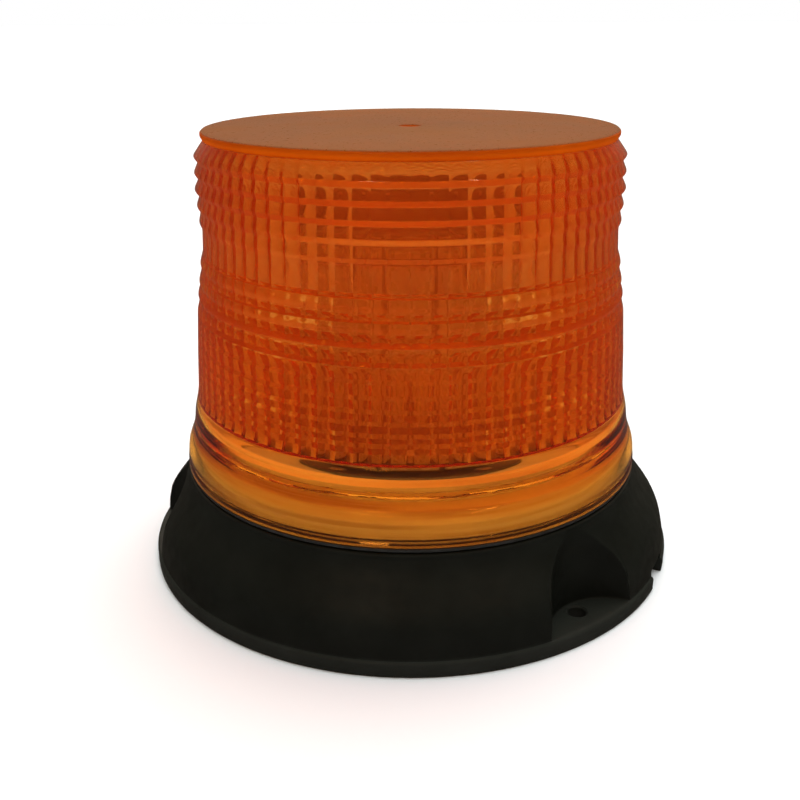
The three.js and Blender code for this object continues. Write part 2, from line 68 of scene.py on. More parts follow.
# ---- Camera -------------------------------------------------------------------------------
CAMERA_DISTANCE = 0.2948  # in front of the beacon's axis
CAMERA_HEIGHT = 0.1591
CAMERA_PITCH = math.radians(21.08)
CAMERA_YAW = math.radians(0.64)
CAMERA_ROLL = -0.0058
FOCAL_MM = 44.35


def make_camera():
    data = bpy.data.cameras.new("camera")
    data.sensor_width = 36
    data.lens = FOCAL_MM
    camera = bpy.data.objects.new("camera", data)
    bpy.context.scene.collection.objects.link(camera)
    turn = Matrix.Rotation(CAMERA_YAW, 4, "Z")
    tilt = Matrix.Rotation(math.pi / 2 - CAMERA_PITCH, 4, "X")
    roll = Matrix.Rotation(CAMERA_ROLL, 4, "Z")
    place = Matrix.Translation((0, -CAMERA_DISTANCE, CAMERA_HEIGHT))
    camera.matrix_world = place @ turn @ tilt @ roll
    bpy.context.scene.camera = camera


make_camera()

# ---- Supply leads -------------------------------------------------------------------------
WIRE_RADIUS = 1.1
WIRES_APART = 3.4
LEAD_BEARING = -30.0
LEAD_EXIT = 48.9  # distance from the axis where the leads leave the grommet
LEAD_HEIGHT = 15.0
ON_FLOOR = 1.15
BARE_END = 6.0
STRANDS_RADIUS = 0.6


def bearing_point(radius, bearing, z=0.0):
    a = math.radians(bearing)
    return Vector((radius * math.sin(a), -radius * math.cos(a), z))


def lead_points(sideways, stretch, laid):
    """Route of one lead: straight out of the grommet, down, then round inside the foot. The
    stretch's points have heights of their own, and the laid ones rest on the floor."""
    out = bearing_point(1, LEAD_BEARING)
    across = Vector((-out.y, out.x, 0))
    aside = across * (sideways * WIRES_APART / 2)
    start = bearing_point(LEAD_EXIT, LEAD_BEARING, LEAD_HEIGHT) + aside
    points = [start, start + 3 * out]
    points += [bearing_point(*p) for p in stretch]
    points += [bearing_point(r, b, ON_FLOOR) for r, b in laid]
    return points


RED_ROUTE = lead_points(
    1,
    [(56.5, -28, 13.2), (61, -24, 8.6), (64.5, -18, 4.2), (66.5, -10, 1.7)],
    [
        (67.3, 0), (67.2, 12), (65, 22), (64, 31), (64.6, 40), (68.5, 49), (72, 57), (73.6, 65),
        (73.4, 73), (72, 82), (70.4, 93), (69.4, 105), (68.6, 117), (67.2, 129), (65.4, 140),
        (64.6, 151), (64.6, 162), (65.2, 173), (66.6, 184),
    ],
)
BLACK_ROUTE = lead_points(
    -1,
    [(56, -34.6, 13), (59.4, -33.6, 9), (62, -29.6, 4.8), (63, -22, 2)],
    [
        (62.2, -12), (60.6, 0), (59.6, 12), (59.4, 24), (59.8, 36), (61.8, 48), (65, 59),
        (68.2, 69), (68, 80), (65.8, 91), (63.8, 103), (62.4, 115), (61.2, 127), (60.2, 139),
        (59.8, 151), (59.8, 163), (60.2, 175), (61.4, 187),
    ],
)


def tube_along(name, points, radius):
    """A round wire along one smooth open spline."""
    data = bpy.data.curves.new(name, "CURVE")
    data.dimensions = "3D"
    data.bevel_depth = 1.0  # times each knot's radius
    data.bevel_resolution = 4
    data.use_fill_caps = True
    spline = data.splines.new("BEZIER")
    spline.bezier_points.add(len(points) - 1)
    for knot, point in zip(spline.bezier_points, points):
        knot.co = Vector(point) * MM
        knot.radius = radius * MM
        knot.handle_left_type = knot.handle_right_type = "AUTO"
    made = bpy.data.objects.new(name, data)
    bpy.context.scene.collection.objects.link(made)
    return made, spline.calc_length()


def make_lead(name, route):
    """A lead with its stripped and tinned end. Its insulation is coloured further down."""
    wire, length = tube_along(name + "_wire", route, WIRE_RADIUS)
    heading = (route[-1] - route[-2]).normalized()
    tip = [route[-1] + heading * along for along in (-0.5, BARE_END / 2, BARE_END)]
    strands, _ = tube_along(name + "_strands", tip, STRANDS_RADIUS)
    for piece in (wire, strands):
        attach(piece, "base")
    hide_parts(name)
    return wire, strands


RED_LEAD, RED_STRANDS = make_lead("lead_red", RED_ROUTE)
BLACK_LEAD, BLACK_STRANDS = make_lead("lead_black", BLACK_ROUTE)

# ---- Mesh helpers -------------------------------------------------------------------------


def corner_curve(start, corner, end, shares):
    """Points along the curve that leaves start for a corner and arrives at end."""
    return [(1 - t) ** 2 * start + 2 * t * (1 - t) * corner + t**2 * end for t in shares]


def rounded(points, fillet=0.3, steps=3):
    """An outline of (radius, z) points with each corner turned into a small curve."""
    pts = [np.array(p[:2], float) for p in points]
    fillets = [p[2] if len(p) > 2 else fillet for p in points]
    out = [pts[0]]
    for before, here, after, cut in zip(pts, pts[1:], pts[2:], fillets[1:]):
        back, on = before - here, after - here
        reach = min(cut, 0.45 * np.linalg.norm(back), 0.45 * np.linalg.norm(on))
        start = here + back / np.linalg.norm(back) * reach
        end = here + on / np.linalg.norm(on) * reach
        if reach < 0.02:
            out.append(here)
            continue
        out += corner_curve(start, here, end, np.linspace(0, 1, steps + 1))
    out.append(pts[-1])
    return np.array(out)


def resampled(points, step):
    """The same outline with extra points, no further apart than step."""
    out = [points[0]]
    for a, b in zip(points, points[1:]):
        n = max(1, math.ceil(np.linalg.norm(b - a) / step))
        out += [a + (b - a) * k / n for k in range(1, n + 1)]
    return np.array(out)


def object_from(name, verts, faces, sharp_degrees=35):
    """A mesh object from points in millimetres, facing out, with creases over an angle."""
    mesh = bpy.data.meshes.new(name)
    mesh.from_pydata([tuple(v) for v in np.asarray(verts) * MM], [], faces)
    mesh.validate()
    face_out(mesh)
    made = bpy.data.objects.new(name, mesh)
    bpy.context.scene.collection.objects.link(made)
    return smooth(made, sharp_degrees)


def face_out(mesh):
    """Turns a closed mesh the right way out."""
    mesh.calc_loop_triangles()
    co = np.zeros(len(mesh.vertices) * 3)
    mesh.vertices.foreach_get("co", co)
    tri = np.zeros(len(mesh.loop_triangles) * 3, int)
    mesh.loop_triangles.foreach_get("vertices", tri)
    a, b, c = co.reshape(-1, 3)[tri.reshape(-1, 3)].transpose(1, 0, 2)
    if (a * np.cross(b, c)).sum() < 0:
        mesh.flip_normals()


def grid_shell(radii, heights, bearings, closed_rows):
    """Points and quads of a surface round the axis. radii and heights are [column, row]; a row
    of radius 0 becomes one point. closed_rows joins the last row to the first."""
    columns, rows = radii.shape
    verts, index = [], np.zeros((columns, rows), int)
    angle = np.radians(bearings)
    for j in range(rows):
        if radii[:, j].max() < 1e-6:
            index[:, j] = len(verts)
            verts.append((0, 0, heights[0, j]))
            continue
        index[:, j] = len(verts) + np.arange(columns)
        x, y = radii[:, j] * np.sin(angle), -radii[:, j] * np.cos(angle)
        verts += list(zip(x, y, heights[:, j]))
    faces = []
    following = np.roll(index, -1, axis=0)
    for j in range(rows if closed_rows else rows - 1):
        k = (j + 1) % rows
        a, b, c, d = index[:, j], following[:, j], following[:, k], index[:, k]
        for quad in zip(a.tolist(), b.tolist(), c.tolist(), d.tolist()):
            ring = list(dict.fromkeys(quad))
            if len(ring) > 2:
                faces.append(ring)
    return verts, faces


def revolve(name, outline, columns=192, centre=(0, 0)):
    """A solid of revolution from an outline of (radius, z) rows."""
    outline = np.array(outline, float)
    radii = np.repeat(outline[None, :, 0], columns, axis=0)
    heights = np.repeat(outline[None, :, 1], columns, axis=0)
    bearings = np.arange(columns) * 360 / columns
    on_axis = outline[0, 0] < 1e-6 and outline[-1, 0] < 1e-6
    verts, faces = grid_shell(radii, heights, bearings, closed_rows=not on_axis)
    return object_from(name, np.array(verts) + np.array([*centre, 0]), faces)


def modified(piece, kind, **settings):
    """Applies one modifier to a piece's mesh."""
    modifier = piece.modifiers.new(kind.lower(), kind)
    for key, value in settings.items():
        setattr(modifier, key, value)
    graph = bpy.context.evaluated_depsgraph_get()
    mesh = bpy.data.meshes.new_from_object(piece.evaluated_get(graph))
    piece.modifiers.clear()
    piece.data = mesh
    return piece


def box_piece(name, size, centre, bevel=0.3, segments=2):
    """A box with rounded edges, in millimetres."""
    sx, sy, sz = (s / 2 for s in size)
    corners = [(x, y, z) for x in (-sx, sx) for y in (-sy, sy) for z in (-sz, sz)]
    faces = [(0, 1, 3, 2), (4, 6, 7, 5), (0, 4, 5, 1), (2, 3, 7, 6), (0, 2, 6, 4), (1, 5, 7, 3)]
    piece = object_from(name, np.array(corners) + np.array(centre), faces)
    if bevel:
        modified(piece, "BEVEL", width=bevel * MM, segments=segments, limit_method="NONE")
        smooth(piece)
    return piece


def smooth(piece, sharp_degrees=35):
    mesh = piece.data
    mesh.polygons.foreach_set("use_smooth", [True] * len(mesh.polygons))
    mesh.set_sharp_from_angle(angle=math.radians(sharp_degrees))
    return piece


def joined(name, pieces):
    """Several pieces as one object of separate closed shells."""
    verts, faces = [], []
    for piece in pieces:
        start = len(verts)
        world = piece.matrix_world
        verts += [world @ v.co for v in piece.data.vertices]
        faces += [[start + i for i in p.vertices] for p in piece.data.polygons]
        old = piece.data
        bpy.data.objects.remove(piece)
        bpy.data.meshes.remove(old)
    mesh = bpy.data.meshes.new(name)
    mesh.from_pydata(verts, [], faces)
    made = bpy.data.objects.new(name, mesh)
    bpy.context.scene.collection.objects.link(made)
    return smooth(made)


def carve(piece, cutters):
    """Cuts closed shapes out of a piece and removes them."""
    for cutter in cutters:
        modified(piece, "BOOLEAN", operation="DIFFERENCE", solver="EXACT", object=cutter)
        bpy.data.objects.remove(cutter)
    return smooth(piece)


def turned_to(piece, bearing, place=(0, 0, 0)):
    """Moves a piece built facing the front to a bearing, and bakes that into its mesh."""
    turn = Matrix.Rotation(math.radians(bearing), 4, "Z")
    shift = Matrix.Translation(Vector(place) * MM)
    piece.data.transform(turn @ shift)
    return piece


def placed(piece, body, slot, material, *nodes):
    """Gives a piece its body, its material and the nodes it stands for. Its slot is not used."""
    piece.data.materials.clear()
    piece.data.materials.append(material)
    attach(piece, body)
    if nodes:
        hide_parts(*nodes)
    return piece


# ---- Material helpers ---------------------------------------------------------------------


class Shader:
    """A node material being put together around one Principled shader."""

    def __init__(self, name, **settings):
        self.material = bpy.data.materials.new(name)
        self.material.use_nodes = True
        self.nodes = self.material.node_tree.nodes
        self.links = self.material.node_tree.links
        self.shader = self.nodes["Principled BSDF"]
        self.output = self.nodes["Material Output"]
        for key, value in settings.items():
            self.shader.inputs[key.replace("_", " ")].default_value = value
        self.place = self.nodes.new("ShaderNodeTexCoord").outputs["Object"]

    def node(self, kind, **inputs):
        made = self.nodes.new(kind)
        for key, value in inputs.items():
            socket = made.inputs[key.replace("_", " ")]
            if hasattr(value, "is_linked"):
                self.links.new(value, socket)
            else:
                socket.default_value = value
        return made

    def noise(self, scale, detail=3.0, roughness=0.55, stretch=(1, 1, 1)):
        where = self.node("ShaderNodeMapping", Vector=self.place, Scale=stretch).outputs[0]
        return self.node(
            "ShaderNodeTexNoise", Vector=where, Scale=scale, Detail=detail, Roughness=roughness
        ).outputs["Fac"]

    def ramp(self, value, *stops):
        """Colours at positions along a value, each (position, colour)."""
        made = self.node("ShaderNodeValToRGB", Fac=value)
        ramp = made.color_ramp
        ramp.elements[0].position, ramp.elements[0].color = stops[0][0], rgba(stops[0][1])
        ramp.elements[1].position, ramp.elements[1].color = stops[-1][0], rgba(stops[-1][1])
        for position, colour in stops[1:-1]:
            ramp.elements.new(position).color = rgba(colour)
        return made.outputs["Color"]

    def span(self, value, low, high, from_low=0.3, from_high=0.7):
        """A value spread over a new range."""
        made = self.node("ShaderNodeMapRange", Value=value)
        set_range(made, from_low, from_high, low, high)
        return made.outputs["Result"]

    def blend(self, share, first, second):
        made = self.nodes.new("ShaderNodeMix")
        made.data_type = "RGBA"
        for index, value in ((0, share), (6, first), (7, second)):
            self.links.new(value, made.inputs[index])
        return made.outputs[2]

    def mix_value(self, share, first, second):
        made = self.nodes.new("ShaderNodeMix")
        for index, value in ((0, share), (2, first), (3, second)):
            self.links.new(value, made.inputs[index])
        return made.outputs[0]

    def product(self, first, second):
        made = self.nodes.new("ShaderNodeMath")
        made.operation = "MULTIPLY"
        self.links.new(first, made.inputs[0])
        self.links.new(second, made.inputs[1])
        return made.outputs[0]

    def shader_mix(self, share, first, second):
        made = self.node("ShaderNodeMixShader", Fac=share)
        self.links.new(first, made.inputs[1])
        self.links.new(second, made.inputs[2])
        return made.outputs[0]

    def lamps_pass(self, body, colour):
        """Lets lamp light through, so that what is inside clear plastic is lit."""
        clear = self.node("ShaderNodeBsdfTransparent", Color=colour).outputs[0]
        lamp = self.node("ShaderNodeLightPath").outputs["Is Shadow Ray"]
        self.links.new(self.shader_mix(lamp, body, clear), self.output.inputs["Surface"])

    def set(self, socket, value):
        self.links.new(value, self.shader.inputs[socket])
        return self

    def bump(self, height, distance, strength=1.0):
        made = self.node("ShaderNodeBump", Height=height, Distance=distance, Strength=strength)
        self.links.new(made.outputs[0], self.shader.inputs["Normal"])
        return self


def set_range(node, *numbers):
    for key, number in zip(("From Min", "From Max", "To Min", "To Max"), numbers):
        node.inputs[key].default_value = number


def rgba(colour):
    return (*colour, 1.0) if len(colour) == 3 else tuple(colour)


# ---- Materials ----------------------------------------------------------------------------
AMBER_ABSORPTION = (0.976, 0.69, 0.0, 1)
AMBER_DENSITY = 490.0
CLOUD_DEEP, CLOUD_LIGHT = (0.62, 0.112, 0.002), (0.72, 0.140, 0.003)
DISC_DEEP, DISC_LIGHT = (0.29, 0.140, 0.037), (0.335, 0.162, 0.047)
CLOUDINESS, UPPER_CLOUDINESS = 0.42, 0.33  # share of scattering plastic, prisms and above
LIP_CLOUDINESS, DISC_CLOUDINESS = 0.85, 0.75


def amber_plastic():
    """Clear amber polycarbonate, tinted by its depth and a little cloudy. Its disc is frosted.
    Lamps shine into it through its walls."""
    s = Shader("amber_polycarbonate", Transmission_Weight=1.0, IOR=1.49, Specular_IOR_Level=0.5)
    grain = s.noise(38, 4)
    s.set("Base Color", s.ramp(grain, (0.3, (0.96, 0.93, 0.86)), (0.7, (1.0, 0.98, 0.95))))
    tint = s.node("ShaderNodeVolumeAbsorption", Color=AMBER_ABSORPTION, Density=AMBER_DENSITY)
    s.links.new(tint.outputs[0], s.output.inputs["Volume"])
    height = s.node("ShaderNodeSeparateXYZ", Vector=s.place).outputs["Z"]
    on_disc = s.span(height, 0.0, 1.0, (LENS_TOP - 0.5) * MM, (LENS_TOP - 0.15) * MM)
    polished = s.span(s.noise(140, 5), 0.03, 0.09)
    frosted = s.span(s.noise(900, 4), 0.26, 0.36)
    s.set("Roughness", s.mix_value(on_disc, polished, frosted))
    s.bump(s.noise(90, 2), 0.00004, 0.35)
    wall_cloud = s.ramp(grain, (0.3, CLOUD_DEEP), (0.7, CLOUD_LIGHT))
    disc_cloud = s.ramp(grain, (0.3, DISC_DEEP), (0.7, DISC_LIGHT))
    cloud = s.blend(on_disc, wall_cloud, disc_cloud)
    back = s.node("ShaderNodeBsdfDiffuse", Color=cloud).outputs[0]
    through = s.node("ShaderNodeBsdfTranslucent", Color=cloud).outputs[0]
    cloudy = s.shader_mix(0.5, back, through)
    on_lip = s.span(height, 0.0, 1.0, (LENS_TOP - 2.9) * MM, (LENS_TOP - 2.1) * MM)
    above_skirt = s.span(height, 0.05, 1.0, PRISM_BOTTOM * MM, (PRISM_BOTTOM + 4) * MM)
    prism_share = s.product(above_skirt, s.span(grain, 0.9 * CLOUDINESS, 1.1 * CLOUDINESS))
    upper_share = s.span(grain, 0.9 * UPPER_CLOUDINESS, 1.1 * UPPER_CLOUDINESS)
    in_rings = s.span(height, 0.0, 1.0, RIBS_TOP * MM, (RIBS_TOP + 12) * MM)
    wall_share = s.mix_value(in_rings, prism_share, upper_share)
    lip_share = s.span(grain, LIP_CLOUDINESS - 0.05, LIP_CLOUDINESS + 0.05)
    disc_share = s.span(grain, DISC_CLOUDINESS - 0.05, DISC_CLOUDINESS + 0.05)
    share = s.mix_value(on_lip, wall_share, s.mix_value(on_disc, lip_share, disc_share))
    body = s.shader_mix(share, s.shader.outputs[0], cloudy)
    s.lamps_pass(body, s.ramp(grain, (0.3, (0.93, 0.90, 0.85)), (0.7, (0.97, 0.95, 0.90))))
    return s.material


def moulded_black():
    """Black moulded plastic with a fine spark-eroded texture, lighter round its rim below 4.2 mm, fading
    out by 5.4 mm.
    """
    s = Shader("moulded_black", Specular_IOR_Level=0.18)
    worn = s.noise(55, 6, 0.6)
    wall = s.ramp(worn, (0.35, (0.0060, 0.0074, 0.0054)), (0.75, (0.0105, 0.0124, 0.0095)))
    rim = s.ramp(worn, (0.35, (0.017, 0.0195, 0.0160)), (0.75, (0.024, 0.0270, 0.0225)))
    height = s.node("ShaderNodeSeparateXYZ", Vector=s.place).outputs["Z"]
    s.set("Base Color", s.blend(s.span(height, 1.0, 0.0, 4.2 * MM, 5.4 * MM), wall, rim))
    s.set("Roughness", s.span(s.noise(240, 4), 0.40, 0.54))
    s.bump(s.noise(2600, 3, 0.7), 0.00006, 0.5)
    return s.material


def ivory_plastic():
    """Glossy ivory plastic, its colour in streaks of painted highlight and shade that run round it."""
    s = Shader("ivory_plastic")
    highlight_streaks = s.noise(420, 2, 0.5, (0.04, 0.04, 1))
    # Painted highlight and shade: the light and dark stops make bands round the collar that stand for
    # its gloss streaks.
    dark, middle, light = (0.70, 0.54, 0.22), (0.90, 0.80, 0.40), (0.97, 0.92, 0.54)
    s.set("Base Color", s.ramp(highlight_streaks, (0.36, dark), (0.5, middle), (0.64, light)))
    s.set("Roughness", s.span(s.noise(300, 3), 0.12, 0.2))
    s.bump(s.noise(500, 2, 0.5, (0.1, 0.1, 1)), 0.00003, 0.4)
    return s.material


def rubber():
    s = Shader("black_rubber")
    dust = s.noise(200, 5)
    s.set("Base Color", s.ramp(dust, (0.3, (0.012, 0.012, 0.012)), (0.7, (0.03, 0.03, 0.03))))
    s.set("Roughness", s.span(s.noise(500, 4), 0.65, 0.85))
    s.bump(s.noise(1500, 3), 0.00005, 0.6)
    return s.material


def metal(name, low, high, rough_low, rough_high, stretch=(1, 1, 1)):
    """Bare metal with fine drawn lines along its stretched direction."""
    s = Shader(name, Metallic=1.0)
    lines = s.noise(900, 4, 0.6, stretch)
    s.set("Base Color", s.ramp(lines, (0.3, low), (0.7, high)))
    s.set("Roughness", s.span(lines, rough_low, rough_high))
    s.bump(lines, 0.00002, 0.5)
    return s.material


def plain(name, low, high, rough_low, rough_high, grain=400, **settings):
    """A moulded, painted or coated finish with slight colour and gloss variation."""
    s = Shader(name, **settings)
    s.set("Base Color", s.ramp(s.noise(grain * 0.3, 4), (0.3, low), (0.7, high)))
    s.set("Roughness", s.span(s.noise(grain, 3), rough_low, rough_high))
    s.bump(s.noise(grain * 3, 2), 0.00002, 0.4)
    return s.material


def clear_plastic():
    """Clear plastic with a light frosting."""
    s = Shader("clear_optic_plastic", Transmission_Weight=1.0, IOR=1.49)
    grain = s.noise(60, 3)
    s.set("Base Color", s.ramp(grain, (0.3, (0.90, 0.93, 0.94)), (0.7, (0.97, 0.98, 0.98))))
    s.set("Roughness", s.span(s.noise(200, 3), 0.22, 0.34))
    haze = s.ramp(grain, (0.3, (0.78, 0.78, 0.75)), (0.7, (0.86, 0.86, 0.83)))
    frost = s.node("ShaderNodeBsdfDiffuse", Color=haze).outputs[0]
    body = s.shader_mix(s.span(grain, 0.40, 0.50), s.shader.outputs[0], frost)
    s.lamps_pass(body, s.ramp(grain, (0.3, (0.93, 0.94, 0.94)), (0.7, (0.96, 0.96, 0.96))))
    return s.material


AMBER = amber_plastic()
BLACK = moulded_black()
IVORY = ivory_plastic()
RUBBER = rubber()
STEEL = metal("zinc_steel", (0.55, 0.55, 0.53), (0.72, 0.72, 0.70), 0.25, 0.42)
ALUMINIUM = metal(
    "anodised_aluminium", (0.16, 0.16, 0.165), (0.24, 0.24, 0.245), 0.35, 0.5, (1, 1, 0.03)
)
BOARD_WHITE = plain("white_solder_mask", (0.74, 0.74, 0.70), (0.82, 0.82, 0.78), 0.3, 0.45)
PLATE_WHITE = plain("plate_plastic", (0.50, 0.48, 0.42), (0.60, 0.58, 0.51), 0.3, 0.42)
BOARD_GREEN = plain("green_solder_mask", (0.01, 0.085, 0.03), (0.02, 0.13, 0.05), 0.25, 0.4)
CLEAR = clear_plastic()
EPOXY = plain("component_epoxy", (0.012, 0.012, 0.013), (0.03, 0.03, 0.032), 0.45, 0.65, 900)
SLEEVE = plain("can_sleeve", (0.012, 0.014, 0.06), (0.02, 0.025, 0.10), 0.25, 0.4)
COPPER = metal("wound_copper", (0.50, 0.20, 0.08), (0.70, 0.32, 0.14), 0.3, 0.5, (1, 1, 0.2))
PHOSPHOR = plain("led_phosphor", (0.42, 0.34, 0.10), (0.50, 0.40, 0.14), 0.3, 0.5, 900)
RED_PVC = plain("red_insulation", (0.50, 0.008, 0.016), (0.62, 0.014, 0.026), 0.3, 0.42, 700)
BLACK_PVC = plain("black_insulation", (0.010, 0.010, 0.010), (0.022, 0.022, 0.022), 0.3, 0.42, 700)
TINNED = metal("tinned_copper", (0.60, 0.56, 0.50), (0.78, 0.74, 0.68), 0.2, 0.4)

# ---- Lens ---------------------------------------------------------------------------------
FLUTES = 80
FLUTE_DEPTH = 0.75
UPPER_FLUTING = 0.65  # share of the flutes' depth that is left above the prisms
LENS_COLUMNS = FLUTES * 6
PRISM_TIPS = (54.2, 57.2, 59.9, 63.2, 66.4, 70.1, 74.2, 78.6, 83.6, 89.2, 95.0)
PRISM_DEPTHS = (1.2, 1.1, 0.35)  # of the steps, low, halfway and high
PRISM_UNDERCUT = 0.9  # height of a step's underside over its depth
PRISM_TAPER = 3.2  # height of a step's face over its depth
THREAD_PITCH = 3.0
LENS_THREAD = (41.7, 65.0, -1.05)  # middle of the ridge at bearing 90, its wall, its height
THREAD_TURNS = 1.25
ROOT_SHARE = 0.3  # depth of the groove along a thread ridge's foot, over the ridge's height


def lens_outside():
    """Outline of the lens from its centre mark out and down to its flange."""
    top = LENS_TOP
    points = [(0, top - 0.7), (2.9, top - 0.7), (3.5, top, 0.3), (59.4, top, 0.3)]
    points += [(60, top - 0.6, 0.25), (60, top - 1.5, 0.3), (59.2, top - 2.7, 0.3)]
    for i, crest in enumerate((62.2, 62.3, 62.5, 62.2, 61.9)):
        z = top - 6.8 - i * 4.6
        points += [(crest, z, 0.35), (61.0 + 0.05 * i, z - 1.7, 0.35)]
    points += [(61.2, 102.4), (61.5, 96.6)]
    for crest, z in ((62.5, 93.2), (63.2, 88.0), (63.8, 84.0)):
        points += [(crest - 0.2, z + 0.9, 0.3), (crest, z, 0.3), (crest - 0.45, z - 1.2, 0.3)]
    points += [(64.3, 79.3), (65.2, 67), (65.9, 54.6, 1.5)]
    points += [(66.6, 51.2, 1.5), (67.4, 48.1, 1.5), (67.7, 44.6, 1.5), (68.5, 41.2, 2), (70.1, 37.6, 2)]
    points += [(70.4, 34.2, 0.3), (70.1, 33.9, 0.2), (70.1, 33.6, 0.2)]
    points += [(FLANGE_RADIUS - 0.05, 33.3, 0.3), (FLANGE_RADIUS - 0.05, LENS_BOTTOM + 0.2, 0.3)]
    return rounded(points, steps=2)


def helix_ridge(bearing, z, middle, height):
    """How far a helical ridge stands out of its wall, by bearing and height. A shallow groove
    runs along each side of its foot."""
    turn = ((bearing - 90) % 360) / 360
    ridge = np.zeros(np.broadcast(bearing, z).shape)
    for lap in range(2):
        along = turn + lap
        off = np.abs(z - middle - THREAD_PITCH * along)
        flank = np.clip((0.72 - off) / 0.15, 0, 1)
        ends = np.clip((THREAD_TURNS - along) * 9, 0, 1) * np.clip(along * 9, 0, 1)
        ridge = np.maximum(ridge, flank * ends)
        root = np.clip(1 - np.abs(off - 1.15) / 0.25, 0, 1) * ends
        ridge = np.where(root > 0, -ROOT_SHARE * root, ridge)
    return ridge * height


def prism_rows():
    """Height, inward step and share of fluting down the prisms. Each row of prisms is thickest at
    its tip, has a sloped underside, and tapers out above the tip."""
    tips = np.array(PRISM_TIPS)
    depths = np.interp(tips, (PRISM_BOTTOM, 70, 95.5), PRISM_DEPTHS)
    undersides = tips - PRISM_UNDERCUT * depths
    rows = [(PRISM_BOTTOM, 0.7, 1.0)]
    for tip, depth, above in zip(tips, depths, np.append(undersides[1:], LENS_TOP)):
        reach, room = depth * PRISM_TAPER, above - tip - 0.1
        rows.append((tip, depth, 1.0))
        if reach > room - 0.3:
            left = depth * (1 - room / reach)
            rows += [(tip + room / 2, (depth + left) / 2, 1.0), (tip + room, left, 1.0)]
            continue
        rows += [(tip + reach / 2, depth / 2, 0.9), (tip + reach, 0.0, 0.35)]
        if above < LENS_TOP:
            rows.append((above, 0.0, 0.35))
    return rows


def lens_inside(bearings):
    """Radii and heights, [column, row], of the inside from the flange up to the disc."""
    skirt = np.array([(68.2, LENS_BOTTOM), (68.0, 36), (66.9, 38.4), (65.9, 40.2), (65.0, 41.0)])
    thread = np.array([(65.0, z) for z in np.arange(41.25, 47.6, 0.27)])
    ledge = np.array([(65.0, 48.0), (64.3, PRISM_BOTTOM - 0.6), (63.9, PRISM_BOTTOM - 0.1)])
    plain_rows = np.vstack([skirt, thread, ledge])
    column = bearings[:, None]
    middle, _, height = LENS_THREAD
    ridge = helix_ridge(column, plain_rows[None, :, 1], middle, height)
    radii = [plain_rows[None, :, 0] + ridge]
    heights = [np.repeat(plain_rows[None, :, 1], len(bearings), axis=0)]

    rows = prism_rows()
    upper_z = np.linspace(rows[-1][0] + 0.8, LENS_TOP - 7, 8)
    rows += [(z, 0.0, UPPER_FLUTING) for z in upper_z]
    flutes_z, step, fluted = np.array(rows).T
    wall = np.interp(flutes_z, [51, 54, 76, 98, 105, 124], [63.4, 63.0, 61.9, 59.5, 58.8, 58.1])
    within = (column * FLUTES / 360) % 1.0
    bulge = 1 - (2 * within - 1) ** 2
    radii.append(wall[None, :] - step[None, :] - FLUTE_DEPTH * fluted[None, :] * bulge)
    heights.append(np.repeat(flutes_z[None, :], len(bearings), axis=0))

    under_disc = LENS_TOP - 2.7
    crown = [(57.3, LENS_TOP - 5), (56.2, LENS_TOP - 3.4), (54, under_disc), (0, under_disc)]
    crown = np.array(crown)
    fade = np.array([UPPER_FLUTING, UPPER_FLUTING / 2, 0.0, 0.0])
    radii.append(crown[None, :, 0] - FLUTE_DEPTH * bulge * fade[None, :])
    heights.append(np.repeat(crown[None, :, 1], len(bearings), axis=0))
    return np.hstack(radii), np.hstack(heights)


def make_lens():
    bearings = np.arange(LENS_COLUMNS) * 360 / LENS_COLUMNS
    outside = lens_outside()
    inner_r, inner_z = lens_inside(bearings)
    outer_r = np.repeat(outside[None, :, 0], LENS_COLUMNS, axis=0)
    outer_z = np.repeat(outside[None, :, 1], LENS_COLUMNS, axis=0)
    radii, heights = np.hstack([outer_r, inner_r]), np.hstack([outer_z, inner_z])
    verts, faces = grid_shell(radii, heights, bearings, closed_rows=False)
    lens = object_from("lens_shell", verts, faces, sharp_degrees=28)
    return placed(lens, "lens", "lens_amber", AMBER, "lens")


# ---- Collar and seal ----------------------------------------------------------------------
COLLAR_WALL = 63.2
COLLAR_THREAD_BOTTOM = 43.2
COLLAR_SHOWS = COLLAR_TOP - 1.5  # its chamfered edge, over which the dark inside shows


def make_collar():
    columns = 360
    bearings = np.arange(columns) * 360 / columns
    low = [(54, COLLAR_BOTTOM), (66, COLLAR_BOTTOM, 0.4), (66, 36, 0.6), (65, 39.4, 0.6)]
    low = rounded(low + [(COLLAR_WALL, 41.2)])
    threaded = np.array([(COLLAR_WALL, z) for z in np.arange(41.5, COLLAR_SHOWS - 0.6, 0.14)])
    high = [(COLLAR_WALL, COLLAR_SHOWS - 0.5), (COLLAR_WALL - 0.5, COLLAR_SHOWS, 0.2)]
    high += [(61, COLLAR_SHOWS, 0.3), (61, COLLAR_BOTTOM + 2.6, 0.5)]
    high = rounded(high + [(54, COLLAR_BOTTOM + 2.6, 0.3), (54, COLLAR_BOTTOM + 0.4)])
    rows = np.vstack([low, threaded, high])
    heights = np.repeat(rows[None, :, 1], columns, axis=0)
    wall_rows = np.abs(rows[:, 0] - COLLAR_WALL) < 1e-6
    ridge = helix_ridge(bearings[:, None], rows[None, :, 1], COLLAR_THREAD_BOTTOM, 1.15)
    radii = rows[None, :, 0] + ridge * wall_rows[None, :]
    verts, faces = grid_shell(radii, heights, bearings, closed_rows=True)
    collar = object_from("collar_ring", verts, faces)
    return placed(collar, "base", "collar_ivory", IVORY, "threaded_collar")


def ring(name, inner, node, low_edge, edge, columns):
    """A flat ring with rounded edges, as wide and as tall as a CAD node."""
    outer, bottom, top = size_of(node)
    outline = [(inner, bottom), (outer, bottom, low_edge), (outer, top, edge), (inner, top, edge)]
    return revolve(name, rounded(outline + [(inner, bottom + 0.1)]), columns)


def make_plate():
    plate = ring("deck_plate_ring", 35.0, "deck_plate", 0.2, 0.3, 192)
    return placed(plate, "base", "plate_white", PLATE_WHITE, "deck_plate")


